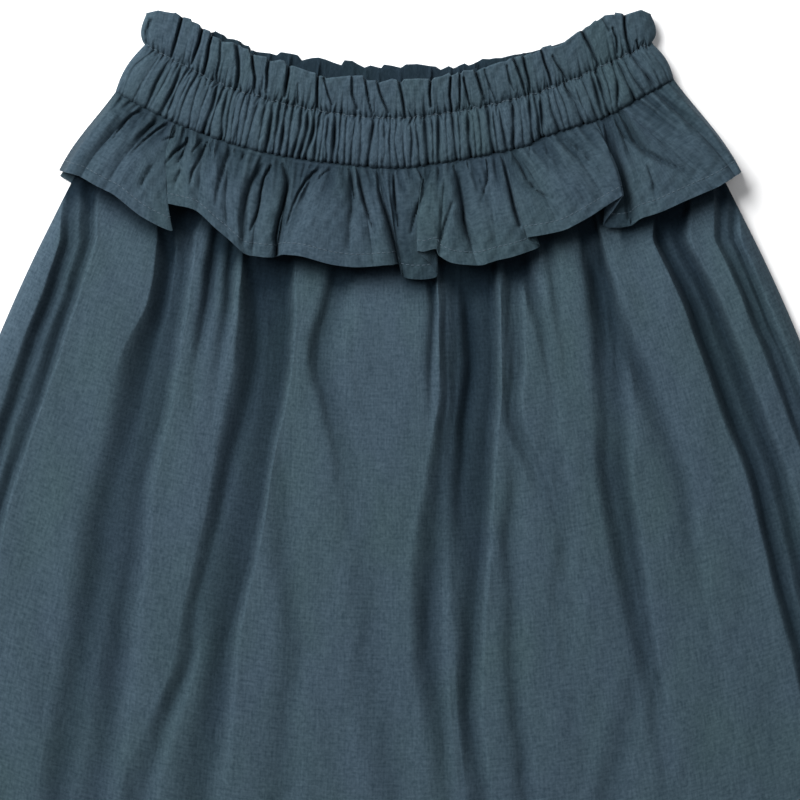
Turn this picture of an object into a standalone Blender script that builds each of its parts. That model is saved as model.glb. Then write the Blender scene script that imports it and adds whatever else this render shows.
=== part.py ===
"""Ruffle skirt with a paperbag waist, laid flat on its back with the front uppermost.

X runs across the skirt, Y runs up it from the hem to the waist, and Z is height above the surface
that it lies on. The origin is under the middle of the skirt, on that surface. Sizes are in metres.

Places on the cloth are given as "across", from -1 at the left side seam to 1 at the right one,
and as a "drop" down the cloth from the stitched line of the waist or from the waist seam.
"""

import math
import random
from collections import namedtuple

import bmesh
import bpy

MM = 0.001
SEAM_GAP = 0.3 * MM

# Waistband: a gathered casing round an elastic, with a frilled heading above the stitched line
WAIST_HALF_CHORD = 122.2 * MM
FRONT_DIP = 34.6 * MM
BACK_DIP = 31.0 * MM
CASING_DEPTH = 25.5 * MM
HEADING_HEIGHT = 17.0 * MM
HEADING_LEAN = 0.65
HEADING_WALL = 1.6 * MM
CASING_INNER = 5.2 * MM
CASING_CREST = 10.6 * MM
CASING_STITCHED = 7.6 * MM
CASING_SEAM = 8.7 * MM
GATHER_DEPTH = 2.0 * MM
HEADING_LEVEL = 7.9 * MM
HEADING_WAVE = 2.0 * MM
BACK_TOP = 4.9 * MM
BACK_HEADING_LEVEL = 2.3 * MM
BACK_HEADING_WAVE = 1.4 * MM
BACK_GATHER_DEPTH = 1.1 * MM
BACK_PRESSED = 0.4 * MM
# Gathers of the casing in each petal of the heading, from the left side seam to the right one
PETAL_GATHERS = (3, 2, 1, 1, 2, 1, 2, 2, 3, 1, 2, 1, 2, 2, 3, 2, 1, 2, 2, 2, 1, 2, 2, 2, 2, 3, 3)
GATHER_UNEVENNESS = 0.22
GATHER_SEED = 11

# Skirt: two rectangles gathered into the waist seam, which fan out towards the hem
SKIRT_LENGTH = 357.0 * MM
SKIRT_WALL = 1.2 * MM
SIDE_FLARE = 120.0 * MM
SIDE_LIFT = 22.0 * MM
SKIRT_SEAM_SPAN = 0.972
ORIGIN_DROP = 166.0 * MM

# Ruffle: a gathered strip sewn into the same seam as the skirt
RUFFLE_DEPTH = 48.0 * MM
RUFFLE_WALL = 1.2 * MM
RUFFLE_GATHERING = 1.4
RUFFLE_END_FLARE = 28.4 * MM
RUFFLE_END_DROP = 39.0 * MM

# Heights of each layer's underside over the surface, by the drop from the waist seam
Layer = namedtuple("Layer", "drops heights")
SKIRT_BACK_FLOOR = Layer((0, 50 * MM, 64 * MM), (2.9 * MM, 2.9 * MM, 0.0))
SKIRT_FRONT_FLOOR = Layer((0, 50 * MM, 64 * MM), (4.9 * MM, 4.9 * MM, 3.9 * MM))
SKIRT_FRONT_EDGE = Layer((0, 50 * MM, 64 * MM), (4.6 * MM, 4.6 * MM, 1.6 * MM))
SKIRT_FRONT_CREST = Layer(
    (0, 25 * MM, 48 * MM, 75 * MM, 200 * MM, 357 * MM),
    (5.3 * MM, 8.0 * MM, 9.6 * MM, 12.2 * MM, 11.6 * MM, 8.6 * MM),
)
RUFFLE_FLOOR = Layer((0, 12 * MM, 25 * MM, 48 * MM), (7.6 * MM, 9.6 * MM, 10.9 * MM, 12.4 * MM))
RUFFLE_FRONT_END = (5.2 * MM, 1.6 * MM)
RUFFLE_BACK_END = (3.4 * MM, 0.2 * MM)
RUFFLE_END_SPAN = 0.975
BACK_FOLD_HEIGHT = 1.7 * MM
BACK_RUFFLE_WAVE = 1.0 * MM
SIDE_ROLL = 14.0 * MM

# Troughs between the folds of the front: millimetres right of the centre line, and depths, at levels
# below the stitched line. The widths are those of the trough's left and right walls.
FOLD_LEVELS = (70, 110, 150, 200, 250, 300, 370)
Fold = namedtuple("Fold", "name places depths left right")
FRONT_FOLDS = (
    Fold("far_left", (-141, -158, -173, -188, -200, -210, -222), (5, 5, 4, 3, 3, 2, 2), 5, 8),
    Fold("left", (-111, -120, -133, -147, -161, -174, -189), (7, 7, 5, 4, 3, 3, 3), 5, 6),
    Fold("panel_left_edge", (-73, -76, -82, -94, -103, -121, -139), (8, 7, 7, 6, 6, 5, 4), 3, 7),
    Fold("panel_right_edge", (-53, -57, -63, -70, -84, -91, -102), (8, 7, 6, 5, 5, 4, 3), 7, 3),
    Fold("soft_bend", (-32, -43, -33, -26, -24, -24, -25), (4, 4, 3, 1, 1, 1, 1), 4, 9),
    Fold("centre_edge", (24, 26, 23, 15, 11, 18, 25), (9, 8, 7, 5, 5, 4, 3), 3, 6),
    Fold("centre_shadow", (33, 35, 36, 38, 34, 33, 49), (8, 8, 6, 5, 4, 4, 3), 6, 5),
    Fold("ridge_right", (55, 55, 58, 52, 53, 55, 60), (5, 5, 4, 3, 3, 3, 2), 4, 6),
    Fold("right", (91, 95, 99, 107, 116, 125, 140), (9, 7, 5, 6, 4, 3, 2), 4, 7),
    Fold("right_diagonal", (101, 109, 126, 142, 152, 160, 170), (5, 5, 3, 2, 2, 2, 2), 5, 6),
    Fold("far_right", (131, 143, 153, 164, 174, 184, 200), (6, 5, 4, 3, 3, 2, 2), 4, 6),
)

# Lines down the front ruffle from the left side to the right, along its ridges and valleys: the place
# across the seam, then the hem's millimetres right of the centre line and below the stitched line,
# and how far the line stands off the skirt where the ruffle is gathered and at the hem
RuffleLine = namedtuple("RuffleLine", "seam hem_right hem_drop gather lift")
FRONT_RUFFLE = tuple(
    RuffleLine(*row)
    for row in (
        (-1.000, -164.0, 26.0, 0.0, 0.0),
        (-0.975, -159.0, 28.0, 1.5, 3.0),
        (-0.907, -150.0, 32.0, 0.0, 3.0),
        (-0.870, -140.0, 36.0, 2.5, 5.0),
        (-0.832, -132.0, 41.0, 0.5, 5.0),
        (-0.800, -125.0, 47.0, 2.5, 6.0),
        (-0.785, -119.5, 51.5, 1.5, 6.0),
        (-0.765, -115.0, 43.5, 0.0, 0.5),
        (-0.735, -108.0, 43.5, 2.0, 5.0),
        (-0.700, -101.0, 44.0, 2.5, 6.0),
        (-0.666, -95.0, 47.0, 0.3, 6.0),
        (-0.620, -88.0, 54.0, 2.5, 7.0),
        (-0.577, -82.0, 59.5, 0.0, 6.5),
        (-0.540, -77.5, 64.0, 2.5, 6.5),
        (-0.465, -73.0, 66.5, 0.0, 5.0),
        (-0.445, -70.0, 67.5, 1.5, 5.0),
        (-0.430, -67.5, 68.2, 0.0, 3.5),
        (-0.405, -64.0, 68.5, 2.5, 4.0),
        (-0.370, -59.5, 68.0, 0.0, 0.0),
        (-0.340, -55.0, 67.5, 2.0, 5.0),
        (-0.300, -49.0, 67.5, 0.3, 5.5),
        (-0.240, -40.0, 70.0, 2.5, 7.0),
        (-0.190, -30.0, 72.5, 2.5, 7.0),
        (-0.157, -22.5, 73.5, 0.0, 6.5),
        (-0.145, -17.0, 73.3, 1.2, 6.5),
        (-0.132, -11.0, 72.8, 0.0, 6.0),
        (-0.100, -6.0, 72.5, 2.5, 5.5),
        (-0.069, -1.5, 71.8, 0.0, 0.5),
        (-0.040, 0.5, 76.0, 1.0, 0.0),
        (-0.012, 2.5, 77.5, 0.0, 0.0),
        (0.045, 6.0, 77.5, 1.0, 0.0),
        (0.075, 9.0, 67.0, 2.0, 4.5),
        (0.110, 13.0, 65.5, 2.5, 5.0),
        (0.145, 18.5, 65.0, 1.2, 4.0),
        (0.172, 24.0, 70.0, 2.5, 6.0),
        (0.197, 34.0, 72.0, 0.0, 4.0),
        (0.240, 43.0, 71.5, 2.5, 6.0),
        (0.299, 47.5, 70.0, 0.8, 6.0),
        (0.325, 53.0, 68.5, 2.5, 6.0),
        (0.354, 59.5, 65.0, 0.0, 0.5),
        (0.380, 63.5, 59.3, 2.0, 5.0),
        (0.406, 73.0, 57.0, 0.0, 6.0),
        (0.450, 80.0, 55.5, 2.5, 7.0),
        (0.520, 92.0, 50.0, 2.5, 7.0),
        (0.563, 99.0, 45.0, 0.5, 6.0),
        (0.640, 105.0, 41.0, 2.5, 4.0),
        (0.712, 109.0, 50.0, 0.0, 0.0),
        (0.740, 114.0, 50.0, 1.5, 2.5),
        (0.761, 117.0, 49.3, 0.3, 4.0),
        (0.780, 121.0, 48.5, 2.0, 5.0),
        (0.800, 134.0, 43.0, 0.5, 5.0),
        (0.860, 147.0, 36.5, 2.5, 6.0),
        (0.919, 155.0, 31.0, 0.0, 3.0),
        (0.975, 160.0, 28.0, 1.5, 3.0),
        (1.000, 164.0, 26.0, 0.0, 0.0),
    )
)
BACK_FLOUNCES = 9
BACK_FOLDS = 11

CLOTH_COLOUR = (0.062, 0.095, 0.122, 1.0)
CLOTH_ROUGHNESS = 0.85

Arc = namedtuple("Arc", "radius half_angle rise")


def waist_arc(dip):
    """The curve that the stitched line lies in: a circle through the side seams with this dip."""
    radius = (WAIST_HALF_CHORD**2 + dip**2) / (2 * dip)
    return Arc(radius, math.asin(WAIST_HALF_CHORD / radius), FRONT_DIP - dip)


def interpolate(places, values, at):
    """A smooth curve through the values at these places, level beyond both ends."""
    if at <= places[0]:
        return values[0]
    if at >= places[-1]:
        return values[-1]
    i = max(k for k in range(len(places) - 1) if places[k] <= at)
    step = places[i + 1] - places[i]
    t = (at - places[i]) / step

    def slope(k):
        before, after = max(k - 1, 0), min(k + 1, len(places) - 1)
        return (values[after] - values[before]) / (places[after] - places[before]) * step

    a, b = values[i], values[i + 1]
    return (
        a * (1 + 2 * t) * (1 - t) ** 2
        + b * t * t * (3 - 2 * t)
        + slope(i) * t * (1 - t) ** 2
        - slope(i + 1) * t * t * (1 - t)
    )


def between(layer, drop):
    """The height of a layer at this drop, on straight lines between its values."""
    drops, heights = layer
    if drop <= drops[0]:
        return heights[0]
    for k in range(1, len(drops)):
        if drop <= drops[k]:
            share = (drop - drops[k - 1]) / (drops[k] - drops[k - 1])
            return heights[k - 1] + share * (heights[k] - heights[k - 1])
    return heights[-1]


def on_band(arc, across, drop):
    """A point of the casing, or of the heading where the drop is negative."""
    angle = across * arc.half_angle
    if drop < 0:
        lean = HEADING_LEAN * angle * (1 - 0.9 * across**6)
        x = arc.radius * math.sin(angle) + drop * math.sin(lean)
        y = arc.rise + arc.radius * (1 - math.cos(angle)) - drop * math.cos(lean)
        return x, y
    reach = arc.radius + drop
    return reach * math.sin(angle), arc.rise + arc.radius - reach * math.cos(angle)


def flare(drop):
    """How far the side seam of the skirt has spread sideways at this drop."""
    t = drop / SKIRT_LENGTH
    return SIDE_FLARE * (0.6 * t + 0.4 * (1 - max(0.0, 1 - t) ** 2.6))


def on_skirt(arc, across, drop):
    """A point of a skirt panel, at this drop below the waist seam."""
    span = SKIRT_SEAM_SPAN + (1 - SKIRT_SEAM_SPAN) * min(1.0, drop / SKIRT_LENGTH)
    x, y = on_band(arc, across * span, CASING_DEPTH + SEAM_GAP)
    t = drop / SKIRT_LENGTH
    lift = SIDE_LIFT * (1 - (1 - t) ** 2)
    return x + across * flare(drop), y - drop + across * across * lift


def trough(distance, left, right):
    """The share of its depth that a trough has at this distance from its middle."""
    return math.exp(-((distance / (left if distance < 0 else right)) ** 2))


def fold_across(arc, fold, drop):
    """Where a fold crosses the row of cloth at this drop, across the skirt.

    Under the ruffle it keeps the place that it has at the ruffle's hem.
    """
    drop = max(drop, RUFFLE_DEPTH)
    across = fold.places[0] * MM / (WAIST_HALF_CHORD + flare(drop))
    half_width = on_skirt(arc, 1, drop)[0]
    for _ in range(8):
        x, y = on_skirt(arc, across, drop)
        wanted = interpolate(FOLD_LEVELS, fold.places, -y / MM) * MM
        across += (wanted - x) / half_width
    return across


def side_roll(arc, across, drop):
    """How far a panel has risen from its side seam: 0 at the edge and 1 inside the roll."""
    inside = max(0.0, 1 - abs(across)) * on_skirt(arc, 1, drop)[0]
    share = min(1.0, inside / SIDE_ROLL)
    return math.sqrt(share * (2 - share))


def raised(points, wall):
    """One row of points moved up by a wall's thickness, and further where the row is steep."""
    row = []
    for k, (x, y, z) in enumerate(points):
        before, after = points[max(k - 1, 0)], points[min(k + 1, len(points) - 1)]
        run = math.hypot(after[0] - before[0], after[1] - before[1])
        slope = (after[2] - before[2]) / max(run, 0.5 * MM)
        row.append((x, y, z + wall * min(1.8, math.sqrt(1 + slope**2))))
    return row


def wall_mesh(name, upper, lower, lower_rows=None):
    """One closed wall from a grid of upper points and a grid of lower ones.

    Both are lists of rows from the waist down, each from left to right. lower_rows gives the rows
    of the upper grid that the lower grid's rows lie under, where it has fewer of them.
    """
    lower_rows = lower_rows or list(range(len(upper)))
    mesh = bmesh.new()
    top = [[mesh.verts.new(p) for p in row] for row in upper]
    under = [[mesh.verts.new(p) for p in row] for row in lower]
    columns = len(upper[0])
    for r in range(len(top) - 1):
        for c in range(columns - 1):
            mesh.faces.new((top[r][c], top[r + 1][c], top[r + 1][c + 1], top[r][c + 1]))
    for r in range(len(under) - 1):
        for c in range(columns - 1):
            mesh.faces.new((under[r][c], under[r][c + 1], under[r + 1][c + 1], under[r + 1][c]))
    for c in range(columns - 1):
        mesh.faces.new((top[0][c], top[0][c + 1], under[0][c + 1], under[0][c]))
        mesh.faces.new((top[-1][c + 1], top[-1][c], under[-1][c], under[-1][c + 1]))
    for r in range(len(under) - 1):
        rows = range(lower_rows[r], lower_rows[r + 1] + 1)
        left = [top[k][0] for k in rows]
        right = [top[k][-1] for k in rows]
        mesh.faces.new([under[r][0], under[r + 1][0], *reversed(left)])
        mesh.faces.new([under[r + 1][-1], under[r][-1], *right])
    bmesh.ops.triangulate(mesh, faces=mesh.faces[:])
    data = bpy.data.meshes.new(name)
    mesh.to_mesh(data)
    mesh.free()
    obj = bpy.data.objects.new(name, data)
    bpy.context.scene.collection.objects.link(obj)
    obj.location.y = ORIGIN_DROP
    return obj


def valley_places(petals):
    """Where the valleys between gathers lie across the casing, and which also part two petals."""
    dice = random.Random(GATHER_SEED)
    count = sum(petals)
    edges = {sum(petals[:k]) for k in range(len(petals) + 1)}
    places = []
    for k in range(count + 1):
        shift = 0 if k in (0, count) else dice.uniform(-1, 1) * GATHER_UNEVENNESS
        places.append((2 * (k + shift) / count - 1, k in edges))
    return places


def band_columns(petals, shares):
    """Across, gather height and petal height of each column of a waistband.

    shares are the columns of one gather, as (share of its width, share of its height).
    """
    valleys = valley_places(petals)
    ends = [place for place, parts in valleys if parts]
    mean = 2 / sum(petals)
    columns = []
    for (left, _), (right, _) in zip(valleys, valleys[1:]):
        fullness = min(1.0, (right - left) / mean) ** 0.5
        for share, height in ((share, height * fullness) for share, height in shares):
            across = left + share * (right - left)
            petal = max(k for k in range(len(ends) - 1) if ends[k] <= across + 1e-9)
            t = (across - ends[petal]) / (ends[petal + 1] - ends[petal])
            columns.append((across, height, math.sin(math.pi * t) ** 0.6 if 0 < t < 1 else 0.0))
    columns.append((1.0, 0.0, 0.0))
    return columns


def end_round(across):
    """How much of its thickness a waistband has kept near its side fold."""
    inside = min(1.0, (1 - abs(across)) * WAIST_HALF_CHORD / (5 * MM))
    return 0.3 + 0.7 * math.sqrt(inside * (2 - inside))


def waistband_front():
    """The gathered casing with its heading, over a plain inside where the elastic lies."""
    arc = waist_arc(FRONT_DIP)
    columns = band_columns(PETAL_GATHERS, ((0, 0), (0.28, 0.85), (0.5, 1), (0.72, 0.85)))
    drops = (-HEADING_HEIGHT, -8 * MM, 0, 5 * MM, 21 * MM, CASING_DEPTH)
    lower_rows = (0, 1, 2, 5)
    upper, lower = [], []
    for k, drop in enumerate(drops):
        top, under = [], []
        for across, gather, petal in columns:
            full = end_round(across)
            if drop < 0:
                wave = HEADING_WAVE * (-drop / HEADING_HEIGHT) ** 0.7 * (2 * petal - 1)
                middle = HEADING_LEVEL + wave + 0.35 * GATHER_DEPTH * gather
                dent = 0.8 * MM * (1 - petal) * (-drop / HEADING_HEIGHT)
                x, y = on_band(arc, across, drop + dent)
                inner = middle - HEADING_WALL / 2
                outer = middle + HEADING_WALL / 2
            else:
                x, y = on_band(arc, across, drop)
                inner = CASING_INNER if drop else HEADING_LEVEL - HEADING_WALL
                crest = CASING_CREST
                if drop == 0:
                    crest = CASING_STITCHED + HEADING_WALL
                if drop == CASING_DEPTH:
                    crest = CASING_SEAM
                outer = crest - GATHER_DEPTH * (1 - gather) * (0.5 if drop == 0 else 1)
            inner = CASING_INNER + (inner - CASING_INNER) * full
            outer = inner + (outer - inner) * full
            top.append((x, y, outer))
            under.append((x, y, inner))
        upper.append(top)
        if k in lower_rows:
            lower.append(under)
    return wall_mesh("waistband_front", upper, lower, lower_rows)


def waistband_back():
    """The back of the waistband, face down: its gathers are pressed flat where they rest."""
    arc = waist_arc(BACK_DIP)
    columns = band_columns(PETAL_GATHERS[::-1], ((0, 0), (0.3, 1), (0.7, 1)))
    drops = (-HEADING_HEIGHT, -8 * MM, 0, 4 * MM, 22 * MM, CASING_DEPTH)
    upper, lower = [], []
    for drop in drops:
        top, under = [], []
        for across, gather, petal in columns:
            full = end_round(across)
            if drop < 0:
                wave = BACK_HEADING_WAVE * (-drop / HEADING_HEIGHT) ** 0.7 * (1 - 2 * petal)
                middle = BACK_HEADING_LEVEL + wave
                outer = max(0.0, middle - HEADING_WALL / 2)
                inner = outer + HEADING_WALL
                x, y = on_band(arc, across, drop + 0.8 * MM * (1 - petal) * (-drop / HEADING_HEIGHT))
            else:
                x, y = on_band(arc, across, drop)
                inner = BACK_TOP if drop else BACK_HEADING_LEVEL + HEADING_WALL
                pinch = BACK_GATHER_DEPTH if drop in (0, CASING_DEPTH) else 0.0
                outer = max(0.0, pinch + BACK_GATHER_DEPTH * (1 - gather) - BACK_PRESSED)
            outer = inner - (inner - outer) * full if full < 1 else outer
            top.append((x, y, inner))
            under.append((x, y, outer))
        upper.append(top)
        lower.append(under)
    return wall_mesh("waistband_back", upper, lower)


def front_height(arc, across, drop, crossings):
    """The underside of the front panel: flat panels of cloth parted by troughs.

    crossings holds the place across this row, the depth and the widths of each trough.
    """
    floor = between(SKIRT_FRONT_FLOOR, drop)
    height = interpolate(*SKIRT_FRONT_CREST, drop)
    half_width = on_skirt(arc, 1, drop)[0]
    grown = min(1.0, drop / RUFFLE_DEPTH)
    for place, depth, left, right in crossings:
        height -= depth * grown * trough((across - place) * half_width, left, right)
    height = max(height, floor)
    edge = between(SKIRT_FRONT_EDGE, drop)
    return edge + (height - edge) * side_roll(arc, across, drop)


def panel_columns(crossings, shares):
    """The places across one row of cloth: the side seams, each trough and the cloth between them."""
    anchors = [-1.0, *(place for place, *_ in crossings), 1.0]
    columns = []
    for left, right in zip(anchors, anchors[1:]):
        columns += [left + share * (right - left) for share in shares]
    return [*columns, 1.0]


def skirt_rows():
    """The drops of the rows of a panel: closer where it passes the ruffle's hem."""
    first, ramp_end = SKIRT_BACK_FLOOR.drops[1:]
    count = 7
    below = [ramp_end + (SKIRT_LENGTH - ramp_end) * k / count for k in range(1, count + 1)]
    return [0.0, first / 2, first, ramp_end, *below]


def skirt_front():
    """The front panel, with its largest folds."""
    arc = waist_arc(FRONT_DIP)
    drops = skirt_rows()
    shares = (0, 0.11, 0.26, 0.5, 0.74, 0.89)
    upper, lower = [], []
    for drop in drops:
        crossings = []
        for fold in FRONT_FOLDS:
            place = fold_across(arc, fold, drop)
            level = -on_skirt(arc, place, drop)[1] / MM
            depth = interpolate(FOLD_LEVELS, fold.depths, level) * MM
            crossings.append((place, depth, fold.left * MM, fold.right * MM))
        points = [
            (*on_skirt(arc, across, drop), front_height(arc, across, drop, crossings))
            for across in panel_columns(crossings, shares)
        ]
        lower.append(points)
        upper.append(raised(points, SKIRT_WALL))
    return wall_mesh("skirt_front", upper, lower)


def skirt_back():
    """The back panel: it rests flat on the surface between low folds."""
    arc = waist_arc(BACK_DIP)
    drops = skirt_rows()
    columns = BACK_FOLDS * 4
    upper, lower = [], []
    for drop in drops:
        top, under = [], []
        grown = min(1.0, max(0.0, drop - RUFFLE_DEPTH) / (2 * RUFFLE_DEPTH))
        for c in range(columns + 1):
            across = 2 * c / columns - 1
            wave = math.cos(math.pi * BACK_FOLDS * across + 0.9 * math.sin(3 * across + 4 * drop))
            rise = BACK_FOLD_HEIGHT * max(0.0, wave) * grown * side_roll(arc, across, drop)
            height = between(SKIRT_BACK_FLOOR, drop) + rise
            x, y = on_skirt(arc, across, drop)
            top.append((x, y, height + SKIRT_WALL))
            under.append((x, y, height))
        upper.append(top)
        lower.append(under)
    return wall_mesh("skirt_back", upper, lower)


def ruffle_end(height, ends, across, v):
    """The height of a ruffle's underside, turned towards the side seam at its ends.

    ends are its heights there, at the waist seam and at the hem.
    """
    turn = max(0.0, (abs(across) - RUFFLE_END_SPAN) / (1 - RUFFLE_END_SPAN))
    edge = ends[0] + (ends[1] - ends[0]) * v
    return height + (edge - height) * turn


def ruffle_front():
    """The front ruffle: gathered in the seam, it fans out into flounces that stand off the skirt."""
    arc = waist_arc(FRONT_DIP)
    rows = 7
    seams = []
    for line, after in zip(FRONT_RUFFLE, FRONT_RUFFLE[1:]):
        seams.append(line.seam)
        if after.seam - line.seam > 0.03:
            seams.append((line.seam + after.seam) / 2)
    seams.append(1.0)
    known = [line.seam for line in FRONT_RUFFLE]
    upper, lower = [], []
    for r in range(rows + 1):
        v = r / rows
        points = []
        for seam in seams:
            right, drop, gather, lift = (
                interpolate(known, [line[column] for line in FRONT_RUFFLE], seam) * MM
                for column in (1, 2, 3, 4)
            )
            x0, y0 = on_band(arc, seam, CASING_DEPTH + SEAM_GAP)
            height = interpolate(*RUFFLE_FLOOR, v * RUFFLE_DEPTH)
            height += max(0.0, gather) * 4 * v * (1 - v) ** 2 * RUFFLE_GATHERING
            height += max(0.0, lift) * (1 - (1 - v) ** 2.2)
            height = ruffle_end(height, RUFFLE_FRONT_END, seam, v)
            points.append((x0 + (right - x0) * v, y0 + (-drop - y0) * v, height))
        lower.append(points)
        upper.append(raised(points, RUFFLE_WALL))
    return wall_mesh("ruffle_front", upper, lower)


def ruffle_back():
    """The back ruffle, pressed nearly flat under the skirt."""
    arc = waist_arc(BACK_DIP)
    rows, columns = 5, BACK_FLOUNCES * 6
    middle = [RUFFLE_END_SPAN * (2 * c / columns - 1) for c in range(columns + 1)]
    upper, lower = [], []
    for r in range(rows + 1):
        v = r / rows
        top, under = [], []
        for across in (-1.0, *middle, 1.0):
            x0, y0 = on_band(arc, across, CASING_DEPTH + SEAM_GAP)
            wave = math.cos(math.pi * BACK_FLOUNCES * across)
            inside = min(1.0, (1 - abs(across)) / 0.05)
            depth = RUFFLE_DEPTH - across * across * (RUFFLE_DEPTH - RUFFLE_END_DROP)
            x = x0 + across * RUFFLE_END_FLARE * v
            y = y0 - depth * v - 1.5 * MM * wave * v * inside
            height = BACK_RUFFLE_WAVE * max(0.0, wave) * v * inside
            height = ruffle_end(height, RUFFLE_BACK_END, across, v)
            top.append((x, y, height + RUFFLE_WALL))
            under.append((x, y, height))
        upper.append(top)
        lower.append(under)
    return wall_mesh("ruffle_back", upper, lower)


def cloth_material(name):
    """Matt blue-grey woven cotton."""
    material = bpy.data.materials.new(name)
    material.use_nodes = True
    shader = material.node_tree.nodes["Principled BSDF"]
    shader.inputs["Base Color"].default_value = CLOTH_COLOUR
    shader.inputs["Roughness"].default_value = CLOTH_ROUGHNESS
    shader.inputs["Metallic"].default_value = 0.0
    return material


def main():
    for obj in list(bpy.data.objects):
        bpy.data.objects.remove(obj)
    garment = bpy.data.objects.new("garment", None)
    bpy.context.scene.collection.objects.link(garment)
    pieces = (
        waistband_front,
        waistband_back,
        ruffle_front,
        ruffle_back,
        skirt_front,
        skirt_back,
    )
    for make in pieces:
        piece = make()
        piece.data.materials.append(cloth_material(piece.name + "_cloth"))
        piece.parent = garment


main()
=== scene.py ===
"""The ruffle skirt dressed for its render: waistband, ruffle and skirt panels in woven cotton.

The garment lies on its back with the front uppermost, waist towards +Y. X runs across it and Z is
the height over the surface. "Across" is a place between the side seams, from -1 at the left to 1
at the right, and "drop" is how far below a line of the garment a place is. Lengths in tables and
profiles are in millimetres, right of the centre line or below the stitched line of the waist;
everything else is in metres.
"""

import logging
import math
from dataclasses import dataclass
from enum import Enum
from functools import reduce
from typing import ClassVar, NamedTuple, Sequence

import bpy
import numpy as np
from mathutils import Matrix, Vector


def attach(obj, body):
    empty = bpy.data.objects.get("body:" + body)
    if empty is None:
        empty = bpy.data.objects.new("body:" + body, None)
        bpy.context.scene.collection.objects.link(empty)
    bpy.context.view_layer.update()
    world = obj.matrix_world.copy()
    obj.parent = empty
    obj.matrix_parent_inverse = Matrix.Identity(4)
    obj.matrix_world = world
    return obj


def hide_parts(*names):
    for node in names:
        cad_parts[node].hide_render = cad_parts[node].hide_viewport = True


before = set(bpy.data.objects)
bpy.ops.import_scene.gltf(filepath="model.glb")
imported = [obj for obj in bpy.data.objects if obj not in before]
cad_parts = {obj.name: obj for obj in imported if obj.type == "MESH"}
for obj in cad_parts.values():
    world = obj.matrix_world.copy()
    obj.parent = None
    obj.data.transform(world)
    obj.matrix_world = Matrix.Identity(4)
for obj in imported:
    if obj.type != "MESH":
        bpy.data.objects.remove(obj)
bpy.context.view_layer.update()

LOG = logging.getLogger("ruffle_skirt")
MM = 0.001
# The cloth's attribute of painted shade: how dark each point is painted for lying deep in a fold
# or in the shadow of another layer
PAINTED_SHADE = "painted_shade"
# What furrows that cross never pass together, in millimetres
DEEPEST_FURROW = 5.6
RUFFLE_DEPTH = 48 * MM
# The range that the start of a seeded wave is drawn from, a little over a full turn
PHASES = (0, 7)
NOISE_DETAIL = 2.0
# The factor and the two colours among the inputs of Blender's mix node, and its colour output
MIX_INPUTS, MIX_OUTPUT = (0, 6, 7), 2
# The least that a width and an area are divided by
LEAST_WIDTH, LEAST_AREA = 1e-6, 1e-12

Grid = np.ndarray
Material, Node = bpy.types.Material, bpy.types.Node
Socket, Tree = bpy.types.NodeSocket, bpy.types.NodeTree
Colour = tuple[float, float, float, float]
Range = tuple[float, float]
Levels = tuple[float, ...]
Noise = tuple[tuple[float, float], float]


class Facing(Enum):
    """Which way a layer of the garment looks as it lies."""

    FRONT = "front"
    BACK = "back"


class Held(Enum):
    """How a sheet of cloth keeps its shape."""

    GATHERED = "gathered"
    LAID = "laid"


class Profile(NamedTuple):
    """Values at places along a line, joined by a smooth curve."""

    places: Levels
    values: Levels


class Ramp(NamedTuple):
    """A value that grows steadily with a share."""

    start: float
    growth: float

    def at(self, share: Grid) -> Grid:
        """Read the value at a share."""
        return self.start + self.growth * share


class Gather(NamedTuple):
    """A valley between two gathers of the casing, as places across it, and its share of depth."""

    top: float
    middle: float
    seam: float
    depth: float


class Furrow(NamedTuple):
    """A narrow fold pressed in along a line, in millimetres.

    Each point is its place right of the centre line, its place below the stitched line and the
    depth there. The widths are those left and right of the line.
    """

    points: tuple[tuple[float, float, float], ...]
    widths: Range


class Flounce(NamedTuple):
    """A ridge or valley line down the ruffle: its ends, its sideways bow and its heights in mm."""

    seam: float
    hem_right: float
    hem_drop: float
    bow: float
    gather: float
    middle: float
    lift: float


class Valley(NamedTuple):
    """A broad low band between two folds of a skirt panel, at the crease levels.

    The cloth drops from the left edge to a core, rises to a low ridge inside the band, and slopes
    down to a foot under the right edge.
    """

    left_edge: Levels
    core: Levels
    ridge: Levels
    foot: Levels
    right_edge: Levels
    core_depth: Levels
    ridge_depth: Levels
    foot_depth: Levels

    @property
    def lines(self) -> tuple[Levels, ...]:
        """Its lines from left to right."""
        return (self.left_edge, self.core, self.ridge, self.foot, self.right_edge)

    @property
    def depths(self) -> tuple[Levels, ...]:
        """The depths of the lines between its edges."""
        return (self.core_depth, self.ridge_depth, self.foot_depth)


class Crease(NamedTuple):
    """A soft trough down a skirt panel, or a ridge where its depths are negative."""

    places: Levels
    depths: Levels
    widths: Range


def table(kind: type, *rows: tuple) -> tuple:
    """Make each row of a table a named tuple of one kind."""
    return tuple(kind(*row) for row in rows)


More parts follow.
